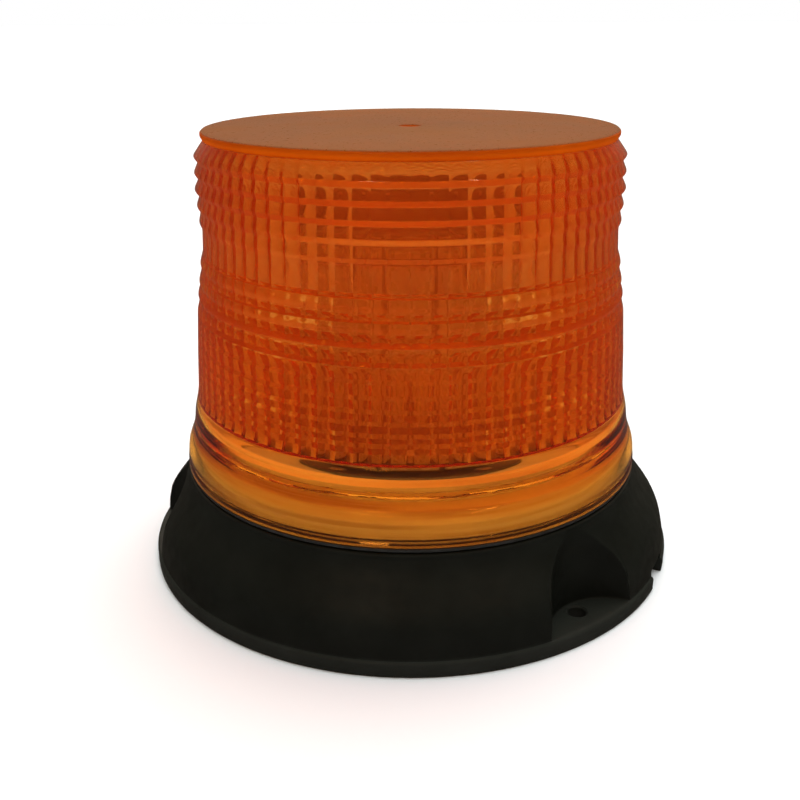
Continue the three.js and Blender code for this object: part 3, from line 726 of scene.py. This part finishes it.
def make_seal():
    seal = ring("seal_ring", size_of("lens_seal")[0] - 3.6, "lens_seal", 0.25, 0.25, 256)
    return placed(seal, "seal_carrier", "seal_rubber", RUBBER, "lens_seal")


# ---- Base ---------------------------------------------------------------------------------
POCKET_BEARINGS = (38.5, 158.5, -81.5)
POCKET_CENTRE, POCKET_RADIUS, POCKET_FLOOR = 89.0, 18.0, 4.6
MOUNT_HOLE_CIRCLE, MOUNT_HOLE_RADIUS = 74.7, 2.6
NOTCH_BEARING, NOTCH_WIDTH, NOTCH_HEIGHT = 65.0, 12.0, 6.5
BELL_WALL = 2.8
BELL_FOOT_RADIUS, BELL_TOP = 81.9, 28.4  # where the bell meets its rim, and starts its shoulder
DECK_UNDERSIDE = SHOULDER_Z - 3.0
WELL_RADIUS, WELL_WALL, WELL_BOTTOM = 46.0, 2.5, 7.5
RIM_TOP = 4.6
FOOT_INSIDE_RADIUS = 79.4
COVER_SCREW_CIRCLE, COVER_SCREW_BEARINGS = 40.5, (0, 90, 180, 270)
BOARD_SCREW_CIRCLE, BOARD_SCREW_BEARINGS = 33.0, (30, 150, 270)
SCREW_HOLE_RADIUS = 1.9


def bell_curve():
    """Outline of the bell from the top of its rim up to the shoulder, as (radius, z)."""
    points = [(BELL_FOOT_RADIUS, RIM_TOP), (81.55, 8), (80.3, 13.4), (78.5, 16.9), (76.3, 19.8)]
    points += [(73.9, 22.7), (72.1, 25.8), (71.05, BELL_TOP)]
    curve = resampled(rounded(points, 1.6, 4), 0.8)
    shoulder = [(71.05, BELL_TOP), (70.95, SHOULDER_Z - 0.4, 0.5), (70.4, SHOULDER_Z, 0.4)]
    return curve, rounded(shoulder + [(69, SHOULDER_Z)])


def pocket_wall(bearing, radius):
    """Distance from the axis to the nearest pocket's wall at a bearing, or infinity."""
    nearest = min(((bearing - b + 180) % 360 - 180 for b in POCKET_BEARINGS), key=abs)
    a = math.radians(nearest)
    inside = radius**2 - (POCKET_CENTRE * math.sin(a)) ** 2
    if abs(a) > 1 or inside <= 0:
        return math.inf
    return POCKET_CENTRE * math.cos(a) - math.sqrt(inside)


def spaced_between(a, b, n):
    return [a + (b - a) * k / n for k in range(1, n + 1)]


def off_pocket(bearing):
    """Angle from a bearing to the nearest pocket, in degrees."""
    return min(abs((bearing - b + 180) % 360 - 180) for b in POCKET_BEARINGS)


def base_column(bearing, curve):
    """Points up the outside of the bell at one bearing: rim, pocket floor, pocket wall, bell.
    Each stretch always has the same number of points, so neighbouring columns join."""
    rim = [(FOOT_RADIUS - 0.5, 0), (FOOT_RADIUS - 0.15, 0.1), (FOOT_RADIUS, 0.45), (FOOT_RADIUS, 2.2)]
    rim += [(FOOT_RADIUS, 3.7), (FOOT_RADIUS - 0.12, 4.1), (FOOT_RADIUS - 0.4, 4.45)]
    rim = [np.array(p, float) for p in rim + [(BELL_FOOT_RADIUS, RIM_TOP)]]
    bell_radius, bell_z = curve.T
    wall = pocket_wall(bearing, POCKET_RADIUS)
    if wall >= BELL_FOOT_RADIUS:
        top = RIM_TOP + min(8.0, 0.5 + (off_pocket(bearing) - 11.0) * 0.8)
        zs = np.linspace(RIM_TOP, top, 22)[1:]
        lower = [np.array((np.interp(z, bell_z, bell_radius), z)) for z in zs]
    else:
        top = float(np.interp(wall, bell_radius[::-1], bell_z[::-1]))
        foot, edge = min(0.7, 0.4 * (top - RIM_TOP)), min(0.5, 0.3 * (top - RIM_TOP))
        across = min(0.7, 0.4 * (BELL_FOOT_RADIUS - wall))
        floor, corner = np.array((wall + across, POCKET_FLOOR)), np.array((wall, POCKET_FLOOR))
        lower = spaced_between(rim[-1], floor, 6)
        lower += corner_curve(floor, corner, np.array((wall, POCKET_FLOOR + foot)), (0.33, 0.66, 1.0))
        below, corner = np.array((wall, top - edge)), np.array((wall, top))
        lower += spaced_between(lower[-1], below, 8)
        above = np.array((np.interp(top + edge, bell_z, bell_radius), top + edge))
        lower += corner_curve(below, corner, above, (0.25, 0.5, 0.75, 1.0))
    zs = np.linspace(lower[-1][1], BELL_TOP, 27)[1:]
    return rim + lower + [np.array((np.interp(z, bell_z, bell_radius), z)) for z in zs]


def base_bearings():
    """Bearings of the base's columns, closer together across each pocket."""
    fine = [b + d for b in POCKET_BEARINGS for d in np.arange(-12.5, 12.51, 0.3)]
    far = [b for b in np.arange(-180, 180, 1.0) if off_pocket(b) > 12.9]
    return np.array(sorted((b + 180) % 360 - 180 for b in fine + far))


def bell_inside(bearing, curve):
    """Points inside the bell from the foot up to the deck's underside, and in to the axis."""
    wall = pocket_wall(bearing, POCKET_RADIUS + BELL_WALL)
    zs = np.concatenate([[0.0], np.linspace(0.4, DECK_UNDERSIDE - 0.5, 22)])
    radii = np.interp(zs + 1.5, curve[:, 1], curve[:, 0]) - BELL_WALL
    radii = np.minimum(np.minimum(radii, wall), FOOT_INSIDE_RADIUS)
    deck = [(min(67.6, wall), DECK_UNDERSIDE), (55, DECK_UNDERSIDE), (0, DECK_UNDERSIDE)]
    return [np.array(p, float) for p in zip(radii, zs)] + [np.array(p, float) for p in deck]


def make_base():
    curve, end = bell_curve()
    bearings = base_bearings()
    columns = []
    for bearing in bearings:
        outside = base_column(bearing, curve) + list(end[1:])
        top = [np.array((60.0, SHOULDER_Z)), np.array((0.0, SHOULDER_Z))]
        inside = bell_inside(bearing, curve)
        columns.append(inside[::-1] + outside + top)
    grid = np.array(columns)
    verts, faces = grid_shell(grid[:, :, 0], grid[:, :, 1], bearings, closed_rows=False)
    shell = object_from("bell", verts, faces)
    cutters = [mount_hole_cutter(b) for b in POCKET_BEARINGS] + [notch_cutter()]
    carve(shell, cutters)
    parts = [shell, well_wall()]
    parts += [boss(COVER_SCREW_CIRCLE, b, 3.6, WELL_BOTTOM) for b in COVER_SCREW_BEARINGS]
    parts += [boss(BOARD_SCREW_CIRCLE, b, 3.4, 20.4) for b in BOARD_SCREW_BEARINGS]
    base = joined("base_shell", parts)
    return placed(base, "base", "base_black", BLACK, "base_housing")


def mount_hole_cutter(bearing):
    r, floor = MOUNT_HOLE_RADIUS, POCKET_FLOOR
    outline = [(0, -1), (r, -1), (r, floor - 0.45), (r + 0.55, floor + 0.1), (r + 0.6, floor + 1)]
    outline.append((0, floor + 1))
    centre = bearing_point(MOUNT_HOLE_CIRCLE, bearing)
    return revolve("hole_cutter", outline, 40, (centre.x, centre.y))


def notch_cutter():
    size = (NOTCH_WIDTH, 9.0, NOTCH_HEIGHT + 4)
    middle = (0, -FOOT_RADIUS + 0.5, NOTCH_HEIGHT / 2 - 2)
    return turned_to(box_piece("notch_cutter", size, middle, 0.9, 4), NOTCH_BEARING)


def well_wall():
    inner, outer = WELL_RADIUS - WELL_WALL, WELL_RADIUS
    outline = [(inner, WELL_BOTTOM), (outer, WELL_BOTTOM, 0.4), (outer, DECK_UNDERSIDE + 0.4)]
    outline += [(inner, DECK_UNDERSIDE + 0.4), (inner, WELL_BOTTOM + 0.3)]
    return revolve("well", rounded(outline), 128)


def boss(circle, bearing, radius, bottom):
    centre = bearing_point(circle, bearing)
    top = DECK_UNDERSIDE + 0.4
    outline = [(1.5, bottom), (radius, bottom, 0.3), (radius, top), (1.5, top)]
    return revolve("boss", rounded(outline), 32, (centre.x, centre.y))


# ---- Electronics and their cover ----------------------------------------------------------
TERMINAL_DISTANCE = 26.0
CHIPS = 14  # small surface parts scattered round the driver board
BOSS_CLEARANCE_RADIUS = 4.4  # of the board's cut-outs round the cover's bosses


def upright_hole(circle, bearing, radius):
    """A cutter for a hole right through anything under the deck."""
    centre = bearing_point(circle, bearing)
    outline = [(0, -5), (radius, -5), (radius, SHOULDER_Z), (0, SHOULDER_Z)]
    return revolve("hole_cutter", outline, 32, (centre.x, centre.y))


def middle_and_size(node):
    low, high = (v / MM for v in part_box(node))
    return (low + high) / 2, high - low


def make_well_cover():
    outer, bottom, top = size_of("well_cover")
    outline = [(0, bottom + 0.4), (30, bottom + 0.4, 0.2), (30.5, bottom, 0.2), (33.5, bottom, 0.2)]
    outline += [(34, bottom + 0.4, 0.2), (37, bottom + 0.4, 0.2), (37.5, bottom, 0.2)]
    outline += [(outer, bottom, 0.5), (outer, top, 0.2), (0, top)]
    cover = revolve("well_cover_disc", rounded(outline), 160)
    carve(cover, [upright_hole(COVER_SCREW_CIRCLE, b, SCREW_HOLE_RADIUS) for b in COVER_SCREW_BEARINGS])
    placed(cover, "base", "base_black", BLACK, "well_cover")

    inner = WELL_RADIUS - WELL_WALL + 0.3
    seal = ring("well_seal_ring", inner, "well_cover_seal", 0.4, 0.4, 160)
    placed(seal, "base", "seal_rubber", RUBBER, "well_cover_seal")


def make_grommet():
    inside, outer = WELL_RADIUS - WELL_WALL - 3, WELL_RADIUS + 2.6
    outline = [(0, inside), (6.8, inside, 0.5), (6.8, inside + 1.8, 0.4), (5, inside + 1.8, 0.1)]
    outline += [(5, WELL_RADIUS + 0.4, 0.1), (7, WELL_RADIUS + 0.4, 0.4), (6.2, outer, 0.6), (0, outer)]
    body = revolve("grommet_body", rounded(outline), 48)
    hole = WIRE_RADIUS + 0.25
    bores = [(0, inside - 1), (hole, inside - 1), (hole, outer + 1), (0, outer + 1)]
    cutters = [revolve("bore", bores, 24, (x, 0)) for x in (-WIRES_APART / 2, WIRES_APART / 2)]
    carve(body, cutters)
    lying = Matrix.Rotation(math.pi / 2, 4, "X")
    body.data.transform(Matrix.Translation((0, 0, LEAD_HEIGHT * MM)) @ lying)
    placed(turned_to(body, LEAD_BEARING), "base", "seal_rubber", RUBBER, "lead_grommet")


def make_board():
    outer, bottom, top = size_of("driver_board")
    outline = [(0, bottom), (outer, bottom, 0.15), (outer, top, 0.15), (0, top)]
    board = revolve("driver_board_disc", rounded(outline), 128)
    cutters = [upright_hole(BOARD_SCREW_CIRCLE, b, SCREW_HOLE_RADIUS) for b in BOARD_SCREW_BEARINGS]
    cutters += [upright_hole(COVER_SCREW_CIRCLE, b, BOSS_CLEARANCE_RADIUS) for b in COVER_SCREW_BEARINGS]
    carve(board, cutters)
    placed(board, "base", "board_green", BOARD_GREEN, "driver_board")
    chips = []
    for i in range(CHIPS):
        place = bearing_point(9 + 5 * (i % 4), 41 * i)
        chips.append(box_piece("chip", (1.6, 0.8, 0.2), (place.x, place.y, bottom - 0.1), 0.05, 1))
    placed(joined("driver_chips", chips), "base", "component_black", EPOXY)


def make_capacitor(node):
    middle, size = middle_and_size(node)
    radius, low, high = size.x / 2, middle.z - size.z / 2, middle.z + size.z / 2
    outline = [(0, low + 0.15), (radius - 1.1, low + 0.15, 0.1), (radius - 0.9, low, 0.2)]
    outline += [(radius, low, 0.5), (radius, high - 1.3, 0.2), (radius - 0.3, high - 0.8, 0.3)]
    outline += [(radius, high - 0.3, 0.2), (radius - 0.1, high), (0, high)]
    can = revolve(node + "_can", rounded(outline, 0.1), 48, (middle.x, middle.y))
    placed(can, "base", "can_sleeve", SLEEVE, node)


def make_inductor():
    """A winding of separate turns round a ring core."""
    middle, size = middle_and_size("inductor")
    outer, inner = size.x / 2, 2.6
    tall, turns, columns = size.z, 22, 22 * 8
    bearings = np.arange(columns) * 360 / columns
    swell = 0.25 * np.abs(np.sin(np.radians(bearings) * turns / 2))[:, None]
    outline = [(inner + 0.3, 0.3), (outer - 0.3, 0.3, 0.8), (outer - 0.3, tall - 0.3, 0.8)]
    outline += [(inner + 0.3, tall - 0.3, 0.6), (inner + 0.3, 0.4)]
    rows = rounded(outline)
    centre = np.array([(inner + outer) / 2, tall / 2])
    away = (rows - centre) / np.linalg.norm(rows - centre, axis=1)[:, None]
    radii = rows[None, :, 0] + swell * away[None, :, 0]
    heights = rows[None, :, 1] + swell * away[None, :, 1]
    verts, faces = grid_shell(radii, heights, bearings, closed_rows=True)
    place = np.array([middle.x, middle.y, middle.z - tall / 2])
    winding = object_from("inductor_winding", np.array(verts) + place, faces, 60)
    placed(winding, "base", "copper_wound", COPPER, "inductor")


def make_terminal_block():
    middle, size = middle_and_size("terminal_block")
    body = box_piece("terminal_body", (15, 8, size.z), (0, 0, middle.z), 0.35)
    mouths = [box_piece("mouth", (4, 7, 4), (x, -2.9, middle.z), 0.3) for x in (-3.6, 3.6)]
    face = middle.z - size.z / 2
    ends = [box_piece("mouth", (3, 3, 3), (x, 1, face), 0.3) for x in (-3.6, 3.6)]
    carve(body, mouths + ends)
    body = turned_to(body, LEAD_BEARING, (0, -TERMINAL_DISTANCE, 0))
    placed(body, "base", "component_black", EPOXY, "terminal_block")


def make_transistor(node):
    middle, size = middle_and_size(node)
    body = box_piece(node + "_case", (size.x, size.y, size.z), middle, 0.4)
    corner = (middle.x - 3, middle.y + 1.6, middle.z - size.z / 2)
    dimple = box_piece("dimple", (1.2, 1.2, 0.8), corner, 0.3)
    carve(body, [dimple])
    placed(body, "base", "component_black", EPOXY, node)


def make_electronics():
    make_well_cover()
    make_grommet()
    make_board()
    for node in ("capacitor_1", "capacitor_2"):
        make_capacitor(node)
    make_inductor()
    make_terminal_block()
    for node in ("transistor_1", "transistor_2"):
        make_transistor(node)


# ---- Screws -------------------------------------------------------------------------------


def make_screws():
    """Every CAD screw stands again with a domed, cross-slotted head."""
    for name in sorted(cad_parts):
        if "_screw_" not in name:
            continue
        low, high = (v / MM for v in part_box(name))
        middle = (low + high) / 2
        head = (high.x - low.x) / 2
        shank = head / 1.9
        thick = shank * 1.1
        pointing_up = name.startswith(("board", "cover"))
        seat = low.z + thick if pointing_up else high.z - thick
        reach = (high.z - low.z) - thick
        outline = [(0, -reach), (shank * 0.7, -reach, 0.2), (shank, -reach + shank * 0.6, 0.2)]
        outline += [(shank, -0.05), (head, 0, 0.1), (head, thick * 0.45, 0.3)]
        outline += [(head * 0.72, thick * 0.92, 0.4), (0, thick)]
        screw = revolve(name + "_turned", rounded(outline, 0.1), 28)
        long, narrow = head * 1.15, shank * 0.42
        cross = ((long, narrow, thick), (narrow, long, thick))
        carve(screw, [box_piece("slot", size, (0, 0, thick * 1.12), 0.05, 1) for size in cross])
        over = Matrix.Rotation(math.pi if pointing_up else 0.0, 4, "X")
        spin = Matrix.Rotation(head + middle.x, 4, "Z")
        place = Matrix.Translation(Vector((middle.x, middle.y, seat)) * MM)
        screw.data.transform(place @ over @ spin)
        placed(screw, "base", "screw_steel", STEEL, name)


# ---- LED tower ----------------------------------------------------------------------------
TOWER_SIDES = 8
TOWER_FLAT = 22.0
BOARD_THICKNESS = 1.6
LED_ROWS = 6
OPTIC_WIDTH, OPTIC_EDGE, OPTIC_BOW = 13.0, 0.9, 3.7
OPTIC_ROOM = 2.9  # depth behind the optic for its LEDs


def make_tower():
    _, foot_bottom, core_top = size_of("tower_core")
    bore, foot_radius, foot_top = 13.0, 34.5, 34.0
    foot = [(bore, foot_bottom), (foot_radius, foot_bottom, 0.3), (foot_radius, foot_top, 0.8)]
    foot += [(23.5, foot_top, 0.2), (bore, foot_top), (bore, foot_bottom + 0.2)]
    flange = revolve("flange", rounded(foot), 128)
    corner = TOWER_FLAT / math.cos(math.pi / TOWER_SIDES)
    bearings = np.arange(TOWER_SIDES) * 45 + 22.5
    bottom = foot_top - 1
    rows = np.array([(bore, bottom), (corner, bottom), (corner, core_top), (bore, core_top)])
    radii = np.repeat(rows[None, :, 0], TOWER_SIDES, axis=0)
    heights = np.repeat(rows[None, :, 1], TOWER_SIDES, axis=0)
    verts, faces = grid_shell(radii, heights, bearings, closed_rows=True)
    column = object_from("column", verts, faces)
    modified(column, "BEVEL", width=0.5 * MM, segments=2, limit_method="ANGLE")
    core = joined("tower_core_body", [flange, column])
    placed(core, "base", "tower_aluminium", ALUMINIUM, "tower_core")

    outline = [(0, CAP_BOTTOM), (CAP_RADIUS, CAP_BOTTOM, 0.2), (CAP_RADIUS, CAP_BOTTOM + 1.4, 0.2)]
    outline += [(CAP_RADIUS - 0.8, CAP_TOP, 0.3), (12, CAP_TOP, 0.3)]
    outline += [(11.6, CAP_TOP - 0.5, 0.2), (0, CAP_TOP - 0.5)]
    cap = revolve("tower_cap_disc", rounded(outline), 128)
    placed(cap, "base", "tower_aluminium", ALUMINIUM, "tower_cap")
    for i in range(TOWER_SIDES):
        make_tower_side(i + 1)


def make_tower_side(number):
    bearing = (number - 1) * 360 / TOWER_SIDES
    _, low, high = size_of(f"led_board_{number}")
    width = 2 * TOWER_FLAT * math.tan(math.pi / TOWER_SIDES) - 1.6
    front = TOWER_FLAT + 0.3 + BOARD_THICKNESS
    middle = (low + high) / 2
    centre = (0, -(front - BOARD_THICKNESS / 2), middle)
    board = box_piece("board", (width, BOARD_THICKNESS, high - low), centre, 0.2)
    placed(turned_to(board, bearing), "base", "board_white", BOARD_WHITE, f"led_board_{number}")
    board.name = f"led_board_{number}_panel"

    packages, domes = [], []
    for k in range(LED_ROWS):
        z = low + (high - low) * (k + 0.5) / LED_ROWS
        packages.append(box_piece("led", (3.5, 1.2, 3.5), (0, -(front + 0.55), z), 0.15))
        dome = revolve("dome", rounded([(0, 0), (1.35, 0), (1.25, 0.35, 0.4), (0, 0.55)], 0.2), 20)
        place = Matrix.Translation(Vector((0, -(front + 1.1), z)) * MM)
        dome.data.transform(place @ Matrix.Rotation(math.pi / 2, 4, "X"))
        domes.append(dome)
    cases = turned_to(joined(f"led_cases_{number}", packages), bearing)
    placed(cases, "base", "board_white", BOARD_WHITE)
    glow = turned_to(joined(f"led_domes_{number}", domes), bearing)
    placed(glow, "base", "optic_clear", PHOSPHOR)

    optic = turned_to(optic_strip(low + 2, high - 2, front + 0.3), bearing)
    optic.name = f"led_optic_{number}_strip"
    placed(optic, "base", "optic_clear", CLEAR, f"led_optic_{number}")


def optic_strip(low, high, back):
    """A clear cover: six bowed lenses in a row, open behind over the LEDs."""
    across = np.linspace(-1, 1, 13)
    bow = np.sqrt(np.clip(1 - across**2, 0, 1))
    verts = []
    for z in np.linspace(low, high, LED_ROWS * 8 + 1):
        share = (z - low) / (high - low)
        pillow = 0.35 + 0.65 * abs(math.sin(math.pi * LED_ROWS * share)) ** 0.5
        ends = min(1.0, 8 * min(share, 1 - share) + 0.35)
        room = OPTIC_ROOM if 0.05 < share < 0.95 else 0.0
        front = OPTIC_EDGE + OPTIC_BOW * bow * (0.8 + 0.2 * pillow) * ends
        behind = np.where(np.abs(across) < 0.6, room, 0.0)
        around = list(zip(across, front)) + list(zip(across, behind))[::-1]
        verts += [(a * OPTIC_WIDTH / 2, -(back + out), z) for a, out in around]
    n, lap = len(across), 2 * len(across)
    last = len(verts) - lap
    faces = []
    for start in range(0, last, lap):
        for i in range(lap):
            k = (i + 1) % lap
            faces.append([start + i, start + k, start + lap + k, start + lap + i])
    for i in range(n - 1):
        end = [i, i + 1, lap - 2 - i, lap - 1 - i]
        faces.append(end[::-1])
        faces.append([last + v for v in end])
    return object_from("optic", verts, faces, 40)


# ---- Floor and light ----------------------------------------------------------------------


def make_floor():
    """A pale floor, which gloss doesn't see: it sees the dim studio instead."""
    bpy.ops.mesh.primitive_circle_add(vertices=96, radius=40, fill_type="NGON")
    floor = bpy.context.object
    floor.name = "floor"
    s = Shader("pale_floor", Specular_IOR_Level=0.0)
    s.set("Base Color", s.ramp(s.noise(3, 2), (0.3, (0.84, 0.90, 0.93)), (0.7, (0.88, 0.94, 0.97))))
    s.shader.inputs["Roughness"].default_value = 0.9
    floor.data.materials.append(s.material)
    floor.visible_glossy = False


def make_light(name, place, aim, size, power, tint=(1, 1, 1)):
    data = bpy.data.lights.new(name, "AREA")
    data.shape = "RECTANGLE"
    data.size, data.size_y = size
    data.energy = power
    data.color = tint
    light = bpy.data.objects.new(name, data)
    bpy.context.scene.collection.objects.link(light)
    light.location = place
    light.rotation_euler = (Vector(aim) - Vector(place)).to_track_quat("-Z", "Y").to_euler()
    return light


STUDIO_TINT = (1.0, 0.86, 0.70, 1)
STUDIO_DIM, STUDIO_BRIGHT = 0.10, 0.95
STUDIO_BRIGHT_WAY = (0.0, 0.72, 0.69)
STUDIO_EDGE = 0.55  # cosine of the bright part's half angle
SOFTBOX_POWER = 3.5
LAMP_TINT = (1.0, 0.66, 0.42)


def make_world():
    """White to the camera, and to everything it lights a dim warm studio, bright behind."""
    world = bpy.data.worlds.new("studio")
    bpy.context.scene.world = world
    world.use_nodes = True
    nodes, links = world.node_tree.nodes, world.node_tree.links
    lit = nodes["Background"]
    lit.inputs["Color"].default_value = STUDIO_TINT
    where = nodes.new("ShaderNodeTexCoord")
    towards = nodes.new("ShaderNodeVectorMath")
    towards.operation = "DOT_PRODUCT"
    links.new(where.outputs["Generated"], towards.inputs[0])
    towards.inputs[1].default_value = STUDIO_BRIGHT_WAY
    level = nodes.new("ShaderNodeMapRange")
    level.interpolation_type = "SMOOTHSTEP"
    links.new(towards.outputs["Value"], level.inputs["Value"])
    set_range(level, STUDIO_EDGE, 1.0, STUDIO_DIM, STUDIO_BRIGHT)
    links.new(level.outputs["Result"], lit.inputs["Strength"])
    seen = nodes.new("ShaderNodeBackground")
    seen.inputs["Color"].default_value = (1, 1, 1, 1)
    rays = nodes.new("ShaderNodeLightPath")
    mix = nodes.new("ShaderNodeMixShader")
    links.new(rays.outputs["Is Camera Ray"], mix.inputs[0])
    links.new(lit.outputs[0], mix.inputs[1])
    links.new(seen.outputs[0], mix.inputs[2])
    links.new(mix.outputs[0], nodes["World Output"].inputs["Surface"])


def make_lights():
    make_world()
    data = bpy.data.lights.new("softbox", "SUN")
    data.energy = SOFTBOX_POWER
    data.angle = math.radians(60)
    softbox = bpy.data.objects.new("softbox", data)
    bpy.context.scene.collection.objects.link(softbox)
    softbox.rotation_euler = (math.radians(-12), math.radians(8), 0)
    softbox.visible_glossy = False
    softbox.visible_transmission = False
    make_light("lamp_left", (-0.26, -0.80, 0.60), (0, 0, 0.1), (0.22, 0.03), 0.7, LAMP_TINT)
    make_light("lamp_right", (0.42, -0.62, 0.58), (0, 0, 0.1), (0.06, 0.03), 0.3, LAMP_TINT)


for lead, strands, insulation in (
    (RED_LEAD, RED_STRANDS, RED_PVC),
    (BLACK_LEAD, BLACK_STRANDS, BLACK_PVC),
):
    lead.data.materials.append(insulation)
    strands.data.materials.append(TINNED)
make_lens()
make_collar()
make_plate()
make_seal()
make_base()
make_electronics()
make_screws()
make_tower()
make_floor()
make_lights()
bpy.context.scene.view_settings.view_transform = "Standard"
